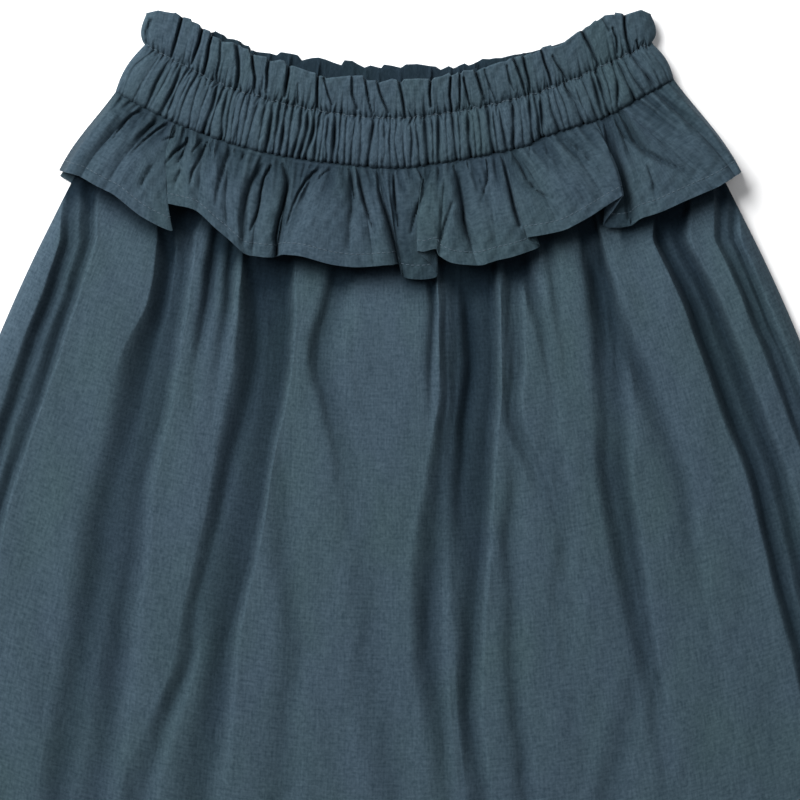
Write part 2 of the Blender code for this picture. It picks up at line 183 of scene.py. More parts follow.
# The gathers of the casing, read off the front
CASING_GATHERS = table(
    Gather,
    (-0.96, -0.975, -0.97, 0.35), (-0.925, -0.925, -0.93, 0.2), (-0.888, -0.886, -0.88, 0.6),
    (-0.865, -0.863, -0.865, 0.25), (-0.835, -0.826, -0.827, 0.75), (-0.812, -0.812, -0.806, 0.45),
    (-0.79, -0.788, -0.785, 0.2), (-0.772, -0.774, -0.765, 0.4), (-0.75, -0.743, -0.725, 0.45),
    (-0.712, -0.708, -0.7, 0.3), (-0.685, -0.675, -0.672, 0.9), (-0.662, -0.66, -0.652, 0.5),
    (-0.641, -0.632, -0.609, 0.65), (-0.622, -0.612, -0.595, 0.4), (-0.597, -0.593, -0.575, 0.3),
    (-0.577, -0.571, -0.556, 0.35), (-0.556, -0.548, -0.54, 0.4), (-0.524, -0.522, -0.52, 0.55),
    (-0.496, -0.488, -0.48, 0.4), (-0.468, -0.459, -0.452, 0.85), (-0.442, -0.434, -0.426, 0.7),
    (-0.417, -0.411, -0.403, 0.85), (-0.392, -0.386, -0.38, 0.6), (-0.36, -0.353, -0.36, 0.75),
    (-0.335, -0.328, -0.337, 0.9), (-0.31, -0.306, -0.315, 0.95), (-0.29, -0.289, -0.286, 0.65),
    (-0.272, -0.27, -0.268, 0.3), (-0.255, -0.255, -0.245, 0.55), (-0.232, -0.228, -0.224, 1),
    (-0.212, -0.208, -0.207, 0.6), (-0.19, -0.187, -0.183, 0.4), (-0.157, -0.161, -0.162, 0.5),
    (-0.135, -0.132, -0.126, 0.4), (-0.09, -0.096, -0.104, 0.75), (-0.07, -0.068, -0.07, 0.25),
    (-0.048, -0.045, -0.05, 0.25), (-0.026, -0.031, -0.025, 0.4), (-0.005, -0.012, 0, 0.4),
    (0.022, 0.018, 0.022, 0.35), (0.045, 0.049, 0.043, 0.5), (0.065, 0.07, 0.074, 0.5),
    (0.098, 0.101, 0.101, 1), (0.126, 0.124, 0.12, 0.35), (0.149, 0.144, 0.138, 0.8),
    (0.176, 0.174, 0.17, 0.3), (0.201, 0.2, 0.198, 0.65), (0.222, 0.221, 0.214, 0.35),
    (0.259, 0.253, 0.248, 0.8), (0.276, 0.274, 0.268, 0.4), (0.3, 0.297, 0.288, 0.4),
    (0.336, 0.329, 0.327, 0.9), (0.354, 0.348, 0.346, 0.45), (0.377, 0.375, 0.373, 0.65),
    (0.43, 0.418, 0.398, 0.85), (0.458, 0.448, 0.435, 0.35), (0.494, 0.482, 0.468, 0.75),
    (0.515, 0.51, 0.495, 0.9), (0.537, 0.523, 0.508, 1), (0.57, 0.561, 0.563, 0.65),
    (0.59, 0.588, 0.585, 0.35), (0.612, 0.612, 0.61, 0.35), (0.636, 0.649, 0.65, 0.75),
    (0.672, 0.67, 0.672, 0.35), (0.706, 0.704, 0.7, 0.55), (0.744, 0.734, 0.724, 0.9),
    (0.762, 0.754, 0.745, 0.85), (0.79, 0.782, 0.762, 0.3), (0.83, 0.817, 0.782, 0.7),
    (0.852, 0.85, 0.845, 0.8), (0.879, 0.874, 0.884, 0.6), (0.91, 0.914, 0.924, 0.75),
    (0.94, 0.945, 0.95, 0.3), (0.972, 0.975, 0.978, 0.3),
)

# Narrow folds of the heading
HEADING_FURROWS = table(
    Furrow,
    (((-119.3, -45.6, 3), (-121.2, -40.8, 3), (-121.2, -35, 2)), (1.2, 1.4)),
    (((-103.9, -47.5, 4), (-105.4, -41.8, 4), (-107.3, -35, 3.5), (-109.2, -28.3, 2)), (1, 1.1)),
    (((-94.3, -41.8, 4.6), (-95.8, -35, 4.4), (-97.2, -31.2, 4), (-99.6, -24.5, 2)), (1.1, 1.1)),
    (((-89.5, -38.9, 4), (-91, -33.6, 4.2), (-91.9, -27.4, 4), (-93.8, -20.2, 2.4)), (1, 1)),
    (((-85.2, -36, 1.6), (-85.7, -26.4, 2), (-87.1, -20.6, 2.6), (-87.6, -15.8, 1.6)), (1, 0.7)),
    (((-77.5, -33.6, 3.4), (-76.6, -26.4, 4), (-76.6, -19.7, 4), (-77.5, -14.9, 3.2),
      (-79, -11, 1.6)), (1.6, 0.9)),
    (((-70.3, -28.8, 4.4), (-69.8, -23.5, 4.6), (-68.9, -17.8, 4), (-69.4, -11, 2)), (0.9, 1)),
    (((-62.2, -26.4, 3.2), (-63.1, -21.6, 4), (-63.1, -16.8, 3.6), (-63.6, -11, 1.6)), (1, 1.2)),
    (((-52.6, -25.4, 4.6), (-53, -19.7, 5), (-54, -13.9, 4.6), (-54.5, -9.1, 2)), (1.1, 1.2)),
    (((-48.2, -14.9, 0.8), (-48.2, -6.2, 1.6)), (0.8, 0.9)),
    (((-38.6, -21.6, 4.4), (-39.1, -13, 4.8), (-39.1, -4.3, 2.6)), (0.8, 1)),
    (((-35.8, -17.8, 1.6), (-33.8, -10.1, 2.4), (-31.9, -5.3, 1.6)), (0.7, 0.8)),
    (((-22.3, -18.7, 2.2), (-22.3, -10.1, 2.8), (-19.9, -3.4, 1.8)), (0.8, 1.4)),
    (((-16.1, -17.8, 3), (-15.1, -12, 3.4), (-14.2, -7.2, 2.8), (-12.7, -1, 1.6)), (0.8, 1)),
    (((-10.3, -16.8, 2.6), (-8.9, -11, 3), (-7, -6.2, 2.8), (-4.6, -1.4, 1.6)), (0.8, 1)),
    (((0.2, -16.8, 3), (1.7, -10.1, 3.8), (2.6, -4.8, 3.6), (3.1, 1, 2)), (0.9, 1)),
    (((15.6, -18.7, 4), (15.1, -11, 4), (15.6, -4.3, 2.4)), (0.8, 0.8)),
    (((25.2, -17.8, 3.4), (24.7, -9.6, 3.8), (25.7, -2.4, 2.2)), (0.8, 0.8)),
    (((29.5, -20.6, 3), (29.5, -12, 3.2), (29.5, -3.8, 1.6)), (0.6, 0.8)),
    (((31.4, -17.8, 2.8), (32.9, -11, 3.8), (34.3, -5.3, 2)), (0.8, 0.8)),
    (((36.7, -22.6, 4.6), (38.6, -16.8, 4.8), (40.1, -12, 4.4), (41.5, -7.7, 2)), (1, 1.1)),
    (((41.5, -21.6, 1.2), (43.9, -14.4, 1.8), (46.8, -8.2, 1.2)), (0.8, 0.9)),
    (((52.1, -23.5, 1.4), (53.5, -16.8, 2), (55.9, -12, 1.4)), (0.7, 1)),
    (((55, -28.3, 3), (57.8, -21.6, 4.2), (59.8, -15.8, 4.2), (61.2, -10.1, 2.4)), (1, 1)),
    (((59.8, -29.3, 4), (61.2, -22.6, 4.2), (62.6, -17.8, 4), (63.6, -11, 2)), (0.9, 1)),
    (((68.4, -32.2, 3.6), (70.3, -25.4, 4.2), (72.2, -20.6, 4.4), (73.7, -14.9, 2.4)), (0.8, 1)),
    (((74.2, -28.3, 1.4), (76.6, -24, 2.6), (79, -20.6, 3), (81.4, -16.8, 1.8)), (0.8, 1)),
    (((88.1, -41.3, 4.4), (90, -37, 5), (91.9, -33.6, 3.8), (94.3, -28.8, 3), (96.2, -24.5, 2)),
     (1.2, 1.2)),
    (((98.2, -46.6, 1.4), (101.5, -40.8, 1.4)), (0.9, 1)),
    (((103, -41.8, 2), (104.9, -37, 3.2), (105.4, -30.2, 1.6)), (0.8, 1)),
    (((108.7, -55.2, 4.6), (108.7, -43.7, 4.8), (109.7, -37, 4), (111.6, -31.2, 3), (114, -25, 2)),
     (0.9, 1)),
    (((114.5, -36, 2.4), (116.4, -28.3, 1.8)), (0.6, 0.7)),
)
# Narrow folds of the front ruffle
RUFFLE_FURROWS = table(
    Furrow,
    (((-80.9, 14.9, 3), (-82.8, 21.6, 2.8), (-84.7, 28.8, 2.2), (-86.6, 37, 1.6),
      (-87.1, 43.7, 0.6)), (1.1, 1.4)),
    (((-91.1, 10.8, 3.2), (-92.6, 14.8, 2.8), (-96.1, 22.8, 2), (-98.6, 27.8, 2.4),
      (-99.6, 33.8, 1)), (0.8, 0.9)),
    (((-91.6, 10.3, 2.4), (-94.6, 11.8, 2.6), (-98.6, 17.8, 1)), (0.7, 0.8)),
    (((-101.4, 11, 2.6), (-102.4, 15.8, 2.8), (-103.6, 19.4, 2.6), (-106.4, 24.3, 1)), (0.7, 0.9)),
    (((-101.6, 12.6, 2.2), (-103.4, 15, 2.8), (-107.6, 18.2, 2.8), (-111.1, 23.4, 1)), (0.8, 1)),
    (((-106.8, 3, 3.4), (-107.1, 5.2, 3.2), (-108.1, 10.4, 3), (-112.9, 12.2, 0.8)), (0.7, 0.9)),
    (((-107.8, 2.6, 3), (-112.4, 4.6, 3.2), (-116.8, 7.9, 3), (-121.9, 12.4, 2.4),
      (-127.6, 18.6, 0.6)), (0.8, 1)),
    (((-112.4, 1.4, 2.6), (-115.9, 2.9, 3), (-119.8, 5.6, 3), (-124.9, 11.7, 0.8)), (0.8, 0.8)),
    (((-124.2, -2.6, 2.4), (-127.6, -0.4, 2.8), (-130.8, 2.9, 2.8), (-134.4, 8.2, 2),
      (-137.6, 13.6, 0.6)), (0.8, 0.9)),
    (((-118.4, 25.8, 1.4), (-121.2, 30.7, 2), (-123.8, 37, 0.8)), (1.4, 1.6)),
    (((-104.2, 27.4, 1.2), (-106.6, 32.4, 1.6), (-107.4, 37.4, 0.6)), (1, 1.2)),
    (((-61.2, 24, 3), (-64.6, 30.2, 3.2), (-66, 37, 3.2), (-66.5, 43.2, 3.2), (-67.9, 48.5, 2.6),
      (-70.8, 55.7, 1)), (0.7, 0.7)),
    (((-65.5, 24, 2), (-70.8, 32.6, 2.4), (-73.2, 40.8, 2.2), (-73.7, 59, 1)), (1.4, 1.6)),
    (((-55.4, 23.5, 3.6), (-53, 31.7, 4.6), (-53.5, 36.5, 4.8), (-55.4, 43.7, 4.8),
      (-57.4, 50.9, 4.8), (-58.8, 59, 4.8), (-58.3, 66.7, 4)), (1.2, 1)),
    (((-35.8, 24.5, 2.4), (-41, 27.4, 2.6), (-44.9, 32.2, 2.8), (-48.2, 37.9, 2.6),
      (-50.6, 43.7, 1.8), (-53.5, 53.3, 1)), (0.7, 1)),
    (((-31.9, 25, 1.6), (-37.2, 29.3, 1.6), (-40.6, 35, 0.6)), (0.7, 0.7)),
    (((-23.8, 23.5, 3.4), (-22.3, 31.2, 3.8), (-20.9, 40.3, 2.4)), (0.7, 0.7)),
    (((-21.8, 40.8, 1), (-23.3, 51.4, 1.4), (-23.8, 64.8, 1)), (1, 1.4)),
    (((-19.9, 23.5, 3.4), (-18.5, 33.6, 4.2), (-16.6, 41.3, 4.2), (-14.2, 48.5, 3),
      (-10.8, 58.1, 1)), (0.9, 0.9)),
    (((-10.3, 24.5, 2), (-9.4, 36, 3.4), (-7.9, 42.2, 4.6), (-5.5, 49.4, 4.8), (-3.1, 57.6, 4.8),
      (-1.2, 64.3, 4.8), (-0.2, 70.6, 4.4)), (0.9, 1.1)),
    (((-2.2, 23.5, 3.4), (-2.2, 33.6, 3.6), (-1.7, 40.8, 3.6), (-0.7, 48.5, 2.6), (0.7, 56.2, 1)),
     (0.7, 0.9)),
    (((9.8, 24.5, 2.6), (11.8, 31.2, 2.4), (11.3, 37.9, 1)), (0.6, 0.7)),
    (((16.1, 26.4, 2), (13.2, 34.6, 2.4), (10.8, 42.2, 2.8), (8.4, 48.5, 2.4), (6.5, 56.2, 1.4)),
     (1.6, 0.7)),
    (((26.6, 24.5, 3), (29, 30.7, 4.4), (30, 37, 4.8), (31, 43.7, 4.8), (31.4, 50.9, 4.6),
      (32.9, 57.6, 2.6), (35.8, 62.9, 1)), (0.9, 1)),
    (((25.7, 43.2, 1.2), (22.8, 51.4, 2.2), (20.4, 60, 2)), (1.2, 1.2)),
    (((42.5, 19.2, 2.4), (43, 30.2, 2), (41, 37, 1.6), (39.6, 41.8, 0.6)), (0.7, 0.8)),
    (((49.7, 17.8, 3.4), (52.1, 29.8, 4.4), (54, 38.4, 4.8), (55.4, 45.6, 4.8), (57.8, 53.3, 3.4)),
     (0.9, 1.2)),
    (((55, 17.8, 2.8), (58.3, 24, 3), (61.2, 30.2, 3.4), (64.6, 35, 3.2), (68.9, 38.4, 2.4),
      (73.2, 41.3, 1)), (0.7, 0.9)),
    (((63.1, 14.9, 2.6), (63.1, 20.6, 1)), (0.5, 0.5)),
    (((70.3, 11, 1.6), (71.8, 19.7, 1.8), (72.2, 27.8, 0.8)), (0.8, 1)),
    (((77, 9.6, 2.6), (82.3, 13, 2.4), (87.1, 16.8, 2.2), (92.9, 23, 1.8), (99.6, 31.2, 0.8)),
     (0.7, 0.9)),
    (((99.6, 5.3, 3.6), (100.6, 12, 4.6), (102.5, 19.2, 5), (105.4, 26.4, 5), (107.3, 33.6, 5),
      (108.7, 40.8, 5), (110.6, 49, 4.4)), (1, 4)),
    (((104.4, 0.6, 3), (105.2, 4.6, 3), (107.8, 10.1, 2.4), (112.5, 14.4, 0.8)), (0.7, 0.8)),
    (((108.6, -0.4, 4), (110.2, 4.8, 4.2), (113.4, 12.2, 4.2), (118.6, 18, 4), (126.3, 22.6, 3.4),
      (135.3, 26.2, 2.8), (142, 29.6, 1.4)), (2, 1.5)),
    (((119.4, 25.4, 1.2), (121.9, 33, 1.8), (122.8, 40, 0.6)), (1, 1.2)),
    (((-74.2, 16.8, 2.4), (-75.1, 21.6, 0.8)), (0.7, 0.7)),
    (((5.5, 25.4, 2), (5.5, 29.3, 0.6)), (0.7, 0.7)),
    (((19, 23.5, 2.2), (19.4, 28.3, 0.8)), (0.6, 0.6)),
    (((33.4, 21.6, 2.4), (33.8, 27.4, 0.8)), (0.6, 0.6)),
    (((82.3, 7.2, 2.2), (83.3, 12, 0.6)), (0.6, 0.6)),
)

# The heading's height by the place across its top edge, in front and behind
FRONT_HEADING = Profile(
    (
        -1.066, -1.02, -0.96, -0.956, -0.927, -0.898, -0.885, -0.877, -0.856, -0.841, -0.834,
        -0.82, -0.793, -0.781, -0.769, -0.744, -0.732, -0.694, -0.659, -0.643, -0.623, -0.612,
        -0.584, -0.544, -0.528, -0.516, -0.486, -0.469, -0.457, -0.441, -0.429, -0.399, -0.365,
        -0.337, -0.323, -0.299, -0.29, -0.251, -0.196, -0.144, -0.135, -0.122, -0.086, -0.078,
        -0.026, -0.002, 0.01, 0.022, 0.078, 0.123, 0.13, 0.143, 0.175, 0.206, 0.213, 0.228, 0.245,
        0.252, 0.266, 0.291, 0.308, 0.314, 0.348, 0.357, 0.371, 0.414, 0.445, 0.456, 0.485, 0.518,
        0.548, 0.555, 0.587, 0.598, 0.624, 0.636, 0.641, 0.67, 0.709, 0.755, 0.777, 0.797, 0.815,
        0.843, 0.85, 0.889, 0.93, 0.931, 0.97, 1.03, 1.066,
    ),
    (
        13.9, 18.2, 20.4, 21.2, 20.7, 21.4, 21.6, 20.7, 21, 20.8, 20.1, 20, 20.1, 18.6, 18.4, 18.7,
        17.7, 19.3, 19.3, 18.5, 18.9, 17.2, 17.3, 18.1, 16.9, 16.8, 18.6, 18.6, 17, 17, 17.3, 16.9,
        16.3, 16.2, 15.1, 15.3, 14.5, 15.7, 17.3, 17.9, 16.7, 15.7, 16.1, 14.9, 17, 16.3, 15.1,
        16.8, 16.9, 16.5, 15.3, 16.8, 17.2, 18.6, 17, 17.5, 18.5, 17.5, 18.8, 18.3, 18.5, 17.5,
        18.5, 18.3, 18.9, 19.5, 19.2, 20, 20.1, 19.7, 19.7, 19.1, 20, 20.8, 20.6, 20.5, 19.2, 18.8,
        20.1, 21.6, 21.6, 22.1, 22.2, 23.4, 22.6, 23.6, 21.6, 22.7, 19.2, 18, 13.4,
    ),
)
BACK_HEADING = Profile(
    (
        -1.066, -1.02, -0.9, -0.82, -0.812, -0.792, -0.781, -0.773, -0.753, -0.731, -0.719, -0.691,
        -0.66, -0.644, -0.623, -0.61, -0.577, -0.545, -0.519, -0.503, -0.49, -0.474, -0.445,
        -0.419, -0.398, -0.38, -0.357, -0.333, -0.303, -0.26, -0.235, -0.225, -0.192, -0.166,
        -0.14, -0.117, -0.092, -0.071, -0.06, -0.027, 0.01, 0.031, 0.076, 0.117, 0.153, 0.172,
        0.206, 0.225, 0.251, 0.272, 0.287, 0.312, 0.334, 0.348, 0.376, 0.401, 0.425, 0.45, 0.467,
        0.55, 0.7, 0.85, 0.93, 1.03, 1.066,
    ),
    (
        12.9, 16.8, 19, 18.6, 19.1, 18.6, 19.2, 20.5, 20.1, 20.1, 19.1, 19.9, 19.8, 18.8, 19.1,
        17.3, 17.6, 18.3, 18.5, 18.4, 20.4, 20.6, 20.8, 20.8, 18.6, 19.7, 20.8, 21.5, 21.1, 19.9,
        19.4, 21.9, 22, 20.5, 19.2, 20.5, 19.9, 19.4, 21.2, 20.7, 19.7, 21.3, 21.4, 20.4, 19.6,
        17.8, 19.3, 17.9, 19, 19.7, 18.4, 18.9, 19.9, 20.6, 19.8, 19.8, 19.2, 19.4, 19.4, 18.6,
        18.4, 20.6, 19.6, 16.4, 12.4,
    ),
)
# How far the stitched line and the waist seam lie below the waist curve, by the place across
STITCHED_DROP = Profile(
    (-1, -0.8, -0.7, -0.5, -0.3, 0, 0.2, 0.4, 0.6, 0.75, 0.9, 1),
    (0, 0, 1, 0.7, 0.7, 1.2, -0.2, -1.1, -1.4, -1.9, -1.7, -0.7),
)
SEAM_DROP = Profile(
    (-1, -0.5, -0.2, 0, 0.15, 0.3, 0.45, 0.5, 0.6, 0.73, 0.85, 1),
    (27.4, 26.5, 25.2, 25.6, 24, 22.9, 22.4, 20.8, 20.4, 21.6, 20.4, 20.2),
)

# Lines down the front ruffle, from the left side seam to the right one
FRONT_FLOUNCES = table(
    Flounce,
    (-1, -163.9, 25.9, 0, 0, 0, 0), (-0.975, -159.6, 27.8, 0, 1.5, 2.5, 3),
    (-0.94, -155.8, 28.8, 0, 2.5, 4, 4.5), (-0.907, -151.9, 30.2, 0, 0.2, 2, 3.5),
    (-0.869, -145.2, 34.1, 0, 2.6, 5, 5.5), (-0.831, -140.4, 36.5, 0, 0.5, 3.6, 5),
    (-0.809, -134.6, 39.8, 0, 2.4, 5.4, 6), (-0.794, -123.1, 49, -1, 2.6, 6, 6.8),
    (-0.787, -113.5, 54.2, -1.9, 2.4, 5.6, 6.4), (-0.779, -107.8, 55.7, -2.9, 1.8, 4.6, 5.4),
    (-0.774, -112.1, 49.4, -3.8, 0.9, 2.6, 3), (-0.768, -117.4, 42.2, -4.3, 0, 0.6, 0.8),
    (-0.753, -111.6, 42.7, -1.4, 1.8, 4, 4.6), (-0.735, -105.8, 43.9, 0, 0.6, 4, 5.8),
    (-0.699, -100.1, 45.1, 0, 2.6, 5.6, 6.6), (-0.666, -95.8, 47, 0, 0, 4, 6.4),
    (-0.623, -88.1, 54.2, 0, 2.8, 6.2, 7.2), (-0.577, -81.4, 59.8, -1, 0, 4.2, 6.8),
    (-0.52, -76.6, 64.3, -1.9, 2.8, 6, 7), (-0.457, -73.2, 67, -3.8, 0.3, 2.4, 5.6),
    (-0.447, -71.3, 67.7, -2.9, 1.4, 3.4, 5.2), (-0.437, -69.8, 67.9, -1, 0.2, 1.6, 4.6),
    (-0.406, -64.1, 68.6, 0, 2.6, 4.6, 4.8), (-0.381, -59.8, 68.6, 1, 1.6, 3, 3.4),
    (-0.368, -58.8, 67.9, 1, 0, 0, 0.4), (-0.354, -57.4, 67.7, 1, 1.6, 1.2, 3.2),
    (-0.316, -55.9, 67.4, 1, 1.9, 2.2, 4.6), (-0.279, -54, 67.4, 0.5, 0.2, 2.4, 5.6),
    (-0.238, -45.8, 68.4, 0, 2.4, 6, 7), (-0.194, -32.9, 72, 0, 2.8, 6.6, 7.4),
    (-0.157, -22.3, 73.4, 0, 0, 4.4, 7), (-0.147, -17.5, 73.4, 0, 1.4, 4.8, 6.8),
    (-0.136, -11.8, 73, 0, 0, 3, 6.4), (-0.103, -6.5, 72.5, 0, 2.4, 6, 6.6),
    (-0.079, -2.6, 72.2, -0.5, 1.8, 4.4, 5.2), (-0.066, 0.2, 71.5, -1.4, 0, 0.2, 0.6),
    (-0.042, 1.7, 75.4, -1.4, 1.6, 1.6, 1.2), (-0.012, 2.6, 77.8, -2.4, 0, 0.2, 0.5),
    (0.019, 7.4, 79, 0, 1.6, 1.4, 1.4), (0.045, 15.1, 78.7, 0, 1.4, 1.2, 1),
    (0.062, 18.5, 76.8, 1.9, 0.6, 0.6, 0.8), (0.072, 15.1, 71.5, 1, 0.6, 1.6, 2.4),
    (0.086, 8.9, 66.2, -1, 1.4, 4.2, 5.4), (0.113, 12.2, 66, -0.5, 2.6, 6, 6.6),
    (0.14, 18, 64.8, 0, 2.4, 5.6, 5.8), (0.16, 19.9, 68.2, 0, 1.2, 4.2, 4.6),
    (0.177, 26.2, 71.5, -0.5, 2.2, 5.6, 6.6), (0.197, 37.7, 72.5, -2.4, 0, 0.8, 5),
    (0.241, 43, 71.5, 0, 2.6, 6.2, 7.2), (0.299, 47.3, 70.1, 0, 0.9, 5, 6.6),
    (0.33, 54, 68.6, 0, 2.6, 6, 6.8), (0.344, 61.2, 66.2, -0.5, 2, 4.6, 5),
    (0.354, 67.4, 63.4, -1.4, 0, 0.3, 0.9), (0.364, 64.1, 61.4, -1.9, 0.8, 1.8, 2.8),
    (0.375, 61.7, 59.3, -1.9, 1.8, 4, 5.4), (0.388, 67.4, 58.3, -1, 2.4, 5.4, 6.6),
    (0.406, 77.5, 56.2, 0, 0.2, 3.4, 7), (0.447, 84.2, 53.3, 0, 2.4, 6.6, 7.6),
    (0.503, 91.9, 49, 0, 2.8, 6.8, 7.6), (0.563, 99.6, 43.9, 0.5, 0.4, 3.4, 6),
    (0.623, 104.9, 40.6, 1, 2.6, 5.6, 6), (0.684, 107.3, 39.4, 1.4, 2.6, 4.6, 5.2),
    (0.699, 103.4, 45.6, 1.4, 1.4, 2.4, 2.8), (0.71, 98.6, 53.3, 1, 0.8, 0.9, 0.9),
    (0.717, 105.4, 54.2, 1.4, 0.4, 0.4, 0.5), (0.722, 111.1, 53.3, 1, 0, 0, 0.5),
    (0.735, 114.5, 50.9, 0.5, 1.4, 2.4, 3), (0.75, 116.9, 49.7, 0, 1.8, 3.8, 4.8),
    (0.761, 120.2, 48.7, 0, 0.4, 3.6, 5.4), (0.776, 126.5, 46.6, 0, 2, 5.6, 6.6),
    (0.787, 136.1, 42.2, 0, 2, 6, 7), (0.798, 150.5, 36, -1.9, 0.5, 3.2, 5.6),
    (0.854, 155.3, 33.4, 0, 2.6, 6.2, 6.8), (0.9, 159.1, 31.2, 0, 2.4, 5.4, 6),
    (0.923, 161, 29.8, 0, 0.2, 2.4, 4), (0.95, 163, 28.6, 0, 2.2, 3.6, 4.4),
    (0.98, 164.4, 27.4, 0, 1.2, 2, 2.6), (1, 165.4, 26.4, 0, 0, 0, 0),
)

# The levels below the stitched line at which valleys and creases have their places and depths
CREASE_LEVELS = (60, 89, 118, 146, 175, 204, 233, 262, 290, 319, 377)
FRONT_VALLEYS = table(
    Valley,
    # side left
    ((-162, -173, -184, -193, -202, -210, -216, -223, -229, -234, -242),
     (-158, -168, -178, -187, -196, -204, -211, -218, -224, -229, -238),
     (-153, -163, -173, -183, -191, -199, -206, -213, -219, -224, -234),
     (-148, -158, -167, -176, -186, -194, -200, -208, -214, -220, -229),
     (-144, -154, -163, -173, -182, -190, -197, -204, -210, -216, -226),
     (5, 5.5, 5, 4.5, 4.5, 4, 4, 3.5, 3, 2.5, 2),
     (2.5, 2.5, 2.5, 2, 1.6, 1.2, 1.2, 1, 1, 0.8, 0.6),
     (5, 5, 5, 4.5, 4, 4, 3.5, 3, 3, 2.5, 2)),
    # left
    ((-116, -121, -134, -142, -150, -156, -161, -165, -170, -175, -185),
     (-109, -113, -119, -126, -135, -141, -146, -151, -157, -162, -171),
     (-106, -110, -115, -121, -129, -134, -139, -143, -148, -154, -162),
     (-102, -106, -110, -115, -124, -128, -132, -134, -139, -144, -153),
     (-97, -101, -104, -109, -116, -118, -121, -124, -128, -132, -141),
     (8, 7.6, 6.6, 5.2, 4.6, 4.4, 4.2, 4, 3.4, 3, 2.4),
     (5, 4.6, 4.4, 4.2, 4, 3.6, 3, 2.4, 2, 1.6, 1.2),
     (5.4, 4.8, 4.4, 4, 4.2, 4.2, 4, 3.6, 3, 2.6, 2)),
    # left of centre
    ((-75, -77, -79, -85, -90, -97, -103, -108, -120, -133, -151),
     (-70, -68, -68, -74, -82, -89, -96, -100, -111, -121, -138),
     (-66, -64, -63, -68, -77, -85, -92, -96, -104, -114, -128),
     (-56, -55, -55, -60, -65, -71, -77, -84, -87, -93, -104),
     (-51, -49, -50, -55, -61, -66, -72, -76, -78, -81, -91),
     (9.4, 8.6, 7.2, 6, 4.8, 3.8, 3.4, 3.2, 2.6, 2.1, 1.2),
     (8.4, 7.6, 6, 5.2, 3.6, 3.2, 2.8, 1.2, 0.2, 0.1, 0.1),
     (9.2, 8, 6.6, 5.6, 5.2, 4.9, 4.9, 4.8, 4.1, 2.9, 1.8)),
    # centre
    ((19, 19, 19, 18, 12, 6, 5, 5, 10, 14, 20),
     (23, 23, 23, 23, 21, 18, 15, 15, 21, 23, 30),
     (28, 28, 28, 27, 24, 24, 25, 26, 28, 31, 36),
     (43, 44, 44, 43, 42, 39, 37, 35, 35, 40, 49),
     (47, 49, 49, 49, 47, 45, 43, 41, 42, 45, 54),
     (3.6, 3.2, 3.2, 3.4, 4, 4, 4.3, 4, 3.2, 1.8, 1.2),
     (5.6, 5, 5, 4.6, 3.6, 2.4, 0.6, 0.2, 0.1, 0.2, 0.3),
     (8.6, 7.2, 6.8, 6.6, 6.4, 5.6, 5, 4.6, 4, 2.8, 1.8)),
    # ridge right
    ((49, 49, 49, 49, 62, 68, 70, 72, 73, 74, 76),
     (54, 55, 56, 55, 68, 74, 75, 76, 77, 78, 80),
     (55, 56, 57, 56, 69, 75, 77, 78, 78, 79, 81),
     (56, 57, 58, 57, 71, 77, 78, 79, 80, 81, 83),
     (60, 61, 61, 61, 74, 79, 81, 82, 83, 84, 86),
     (4.6, 3.4, 3.2, 3.2, 1.4, 0, 0, 0, 0, 0, 0),
     (4.4, 3.3, 3.1, 3.1, 1.3, 0, 0, 0, 0, 0, 0),
     (4.4, 3.2, 3, 3, 1.3, 0, 0, 0, 0, 0, 0)),
    # right
    ((87, 90, 91, 92, 94, 98, 103, 111, 117, 122, 130),
     (91, 98, 100, 100, 103, 108, 114, 120, 125, 129, 137),
     (93, 100, 102, 102, 105, 110, 115, 121, 126, 130, 139),
     (95, 102, 104, 105, 109, 113, 117, 123, 127, 131, 141),
     (98, 106, 111, 113, 114, 118, 122, 126, 133, 137, 147),
     (9.8, 8, 4.6, 3.2, 4.4, 4.2, 3.8, 3, 1.4, 0.6, 0),
     (9.4, 6.6, 4.4, 3.2, 4.4, 4, 3.6, 2.8, 1.2, 0.5, 0),
     (9.2, 6.4, 4.4, 3.4, 4.6, 4.2, 3.6, 2.6, 1.2, 0.5, 0)),
    # far right
    ((122, 135, 146, 156, 166, 174, 181, 189, 196, 202, 215),
     (126, 140, 151, 162, 172, 179, 187, 195, 201, 208, 221),
     (130, 145, 156, 167, 177, 185, 192, 200, 207, 213, 226),
     (135, 150, 162, 173, 183, 190, 198, 206, 212, 219, 232),
     (140, 155, 168, 179, 189, 198, 205, 213, 220, 226, 239),
     (7.6, 8.2, 7.8, 7.4, 7, 6.6, 6, 5.4, 4.8, 4, 3),
     (5.4, 5.4, 5, 4.4, 3.6, 3, 2.4, 2, 1.6, 1.4, 1.2),
     (6.8, 7.2, 6.8, 6.2, 5.6, 5, 4.6, 4, 3.6, 3.2, 2.4)),
    # side right
    ((151, 165, 176, 187, 197, 205, 213, 220, 226, 232, 244),
     (155, 169, 181, 191, 201, 210, 218, 224, 231, 237, 248),
     (158, 172, 184, 194, 204, 213, 221, 227, 234, 240, 251),
     (161, 174, 186, 198, 208, 216, 224, 231, 237, 243, 254),
     (164, 178, 190, 201, 211, 220, 228, 234, 241, 247, 258),
     (4, 4.5, 4.5, 4, 4, 3.5, 3, 3, 2.5, 2.5, 2),
     (3, 3.5, 3.5, 3, 3, 2.5, 2, 2, 1.5, 1.5, 1),
     (4, 4.5, 4, 4, 3.5, 3, 3, 2.5, 2.5, 2, 1.8)),
)
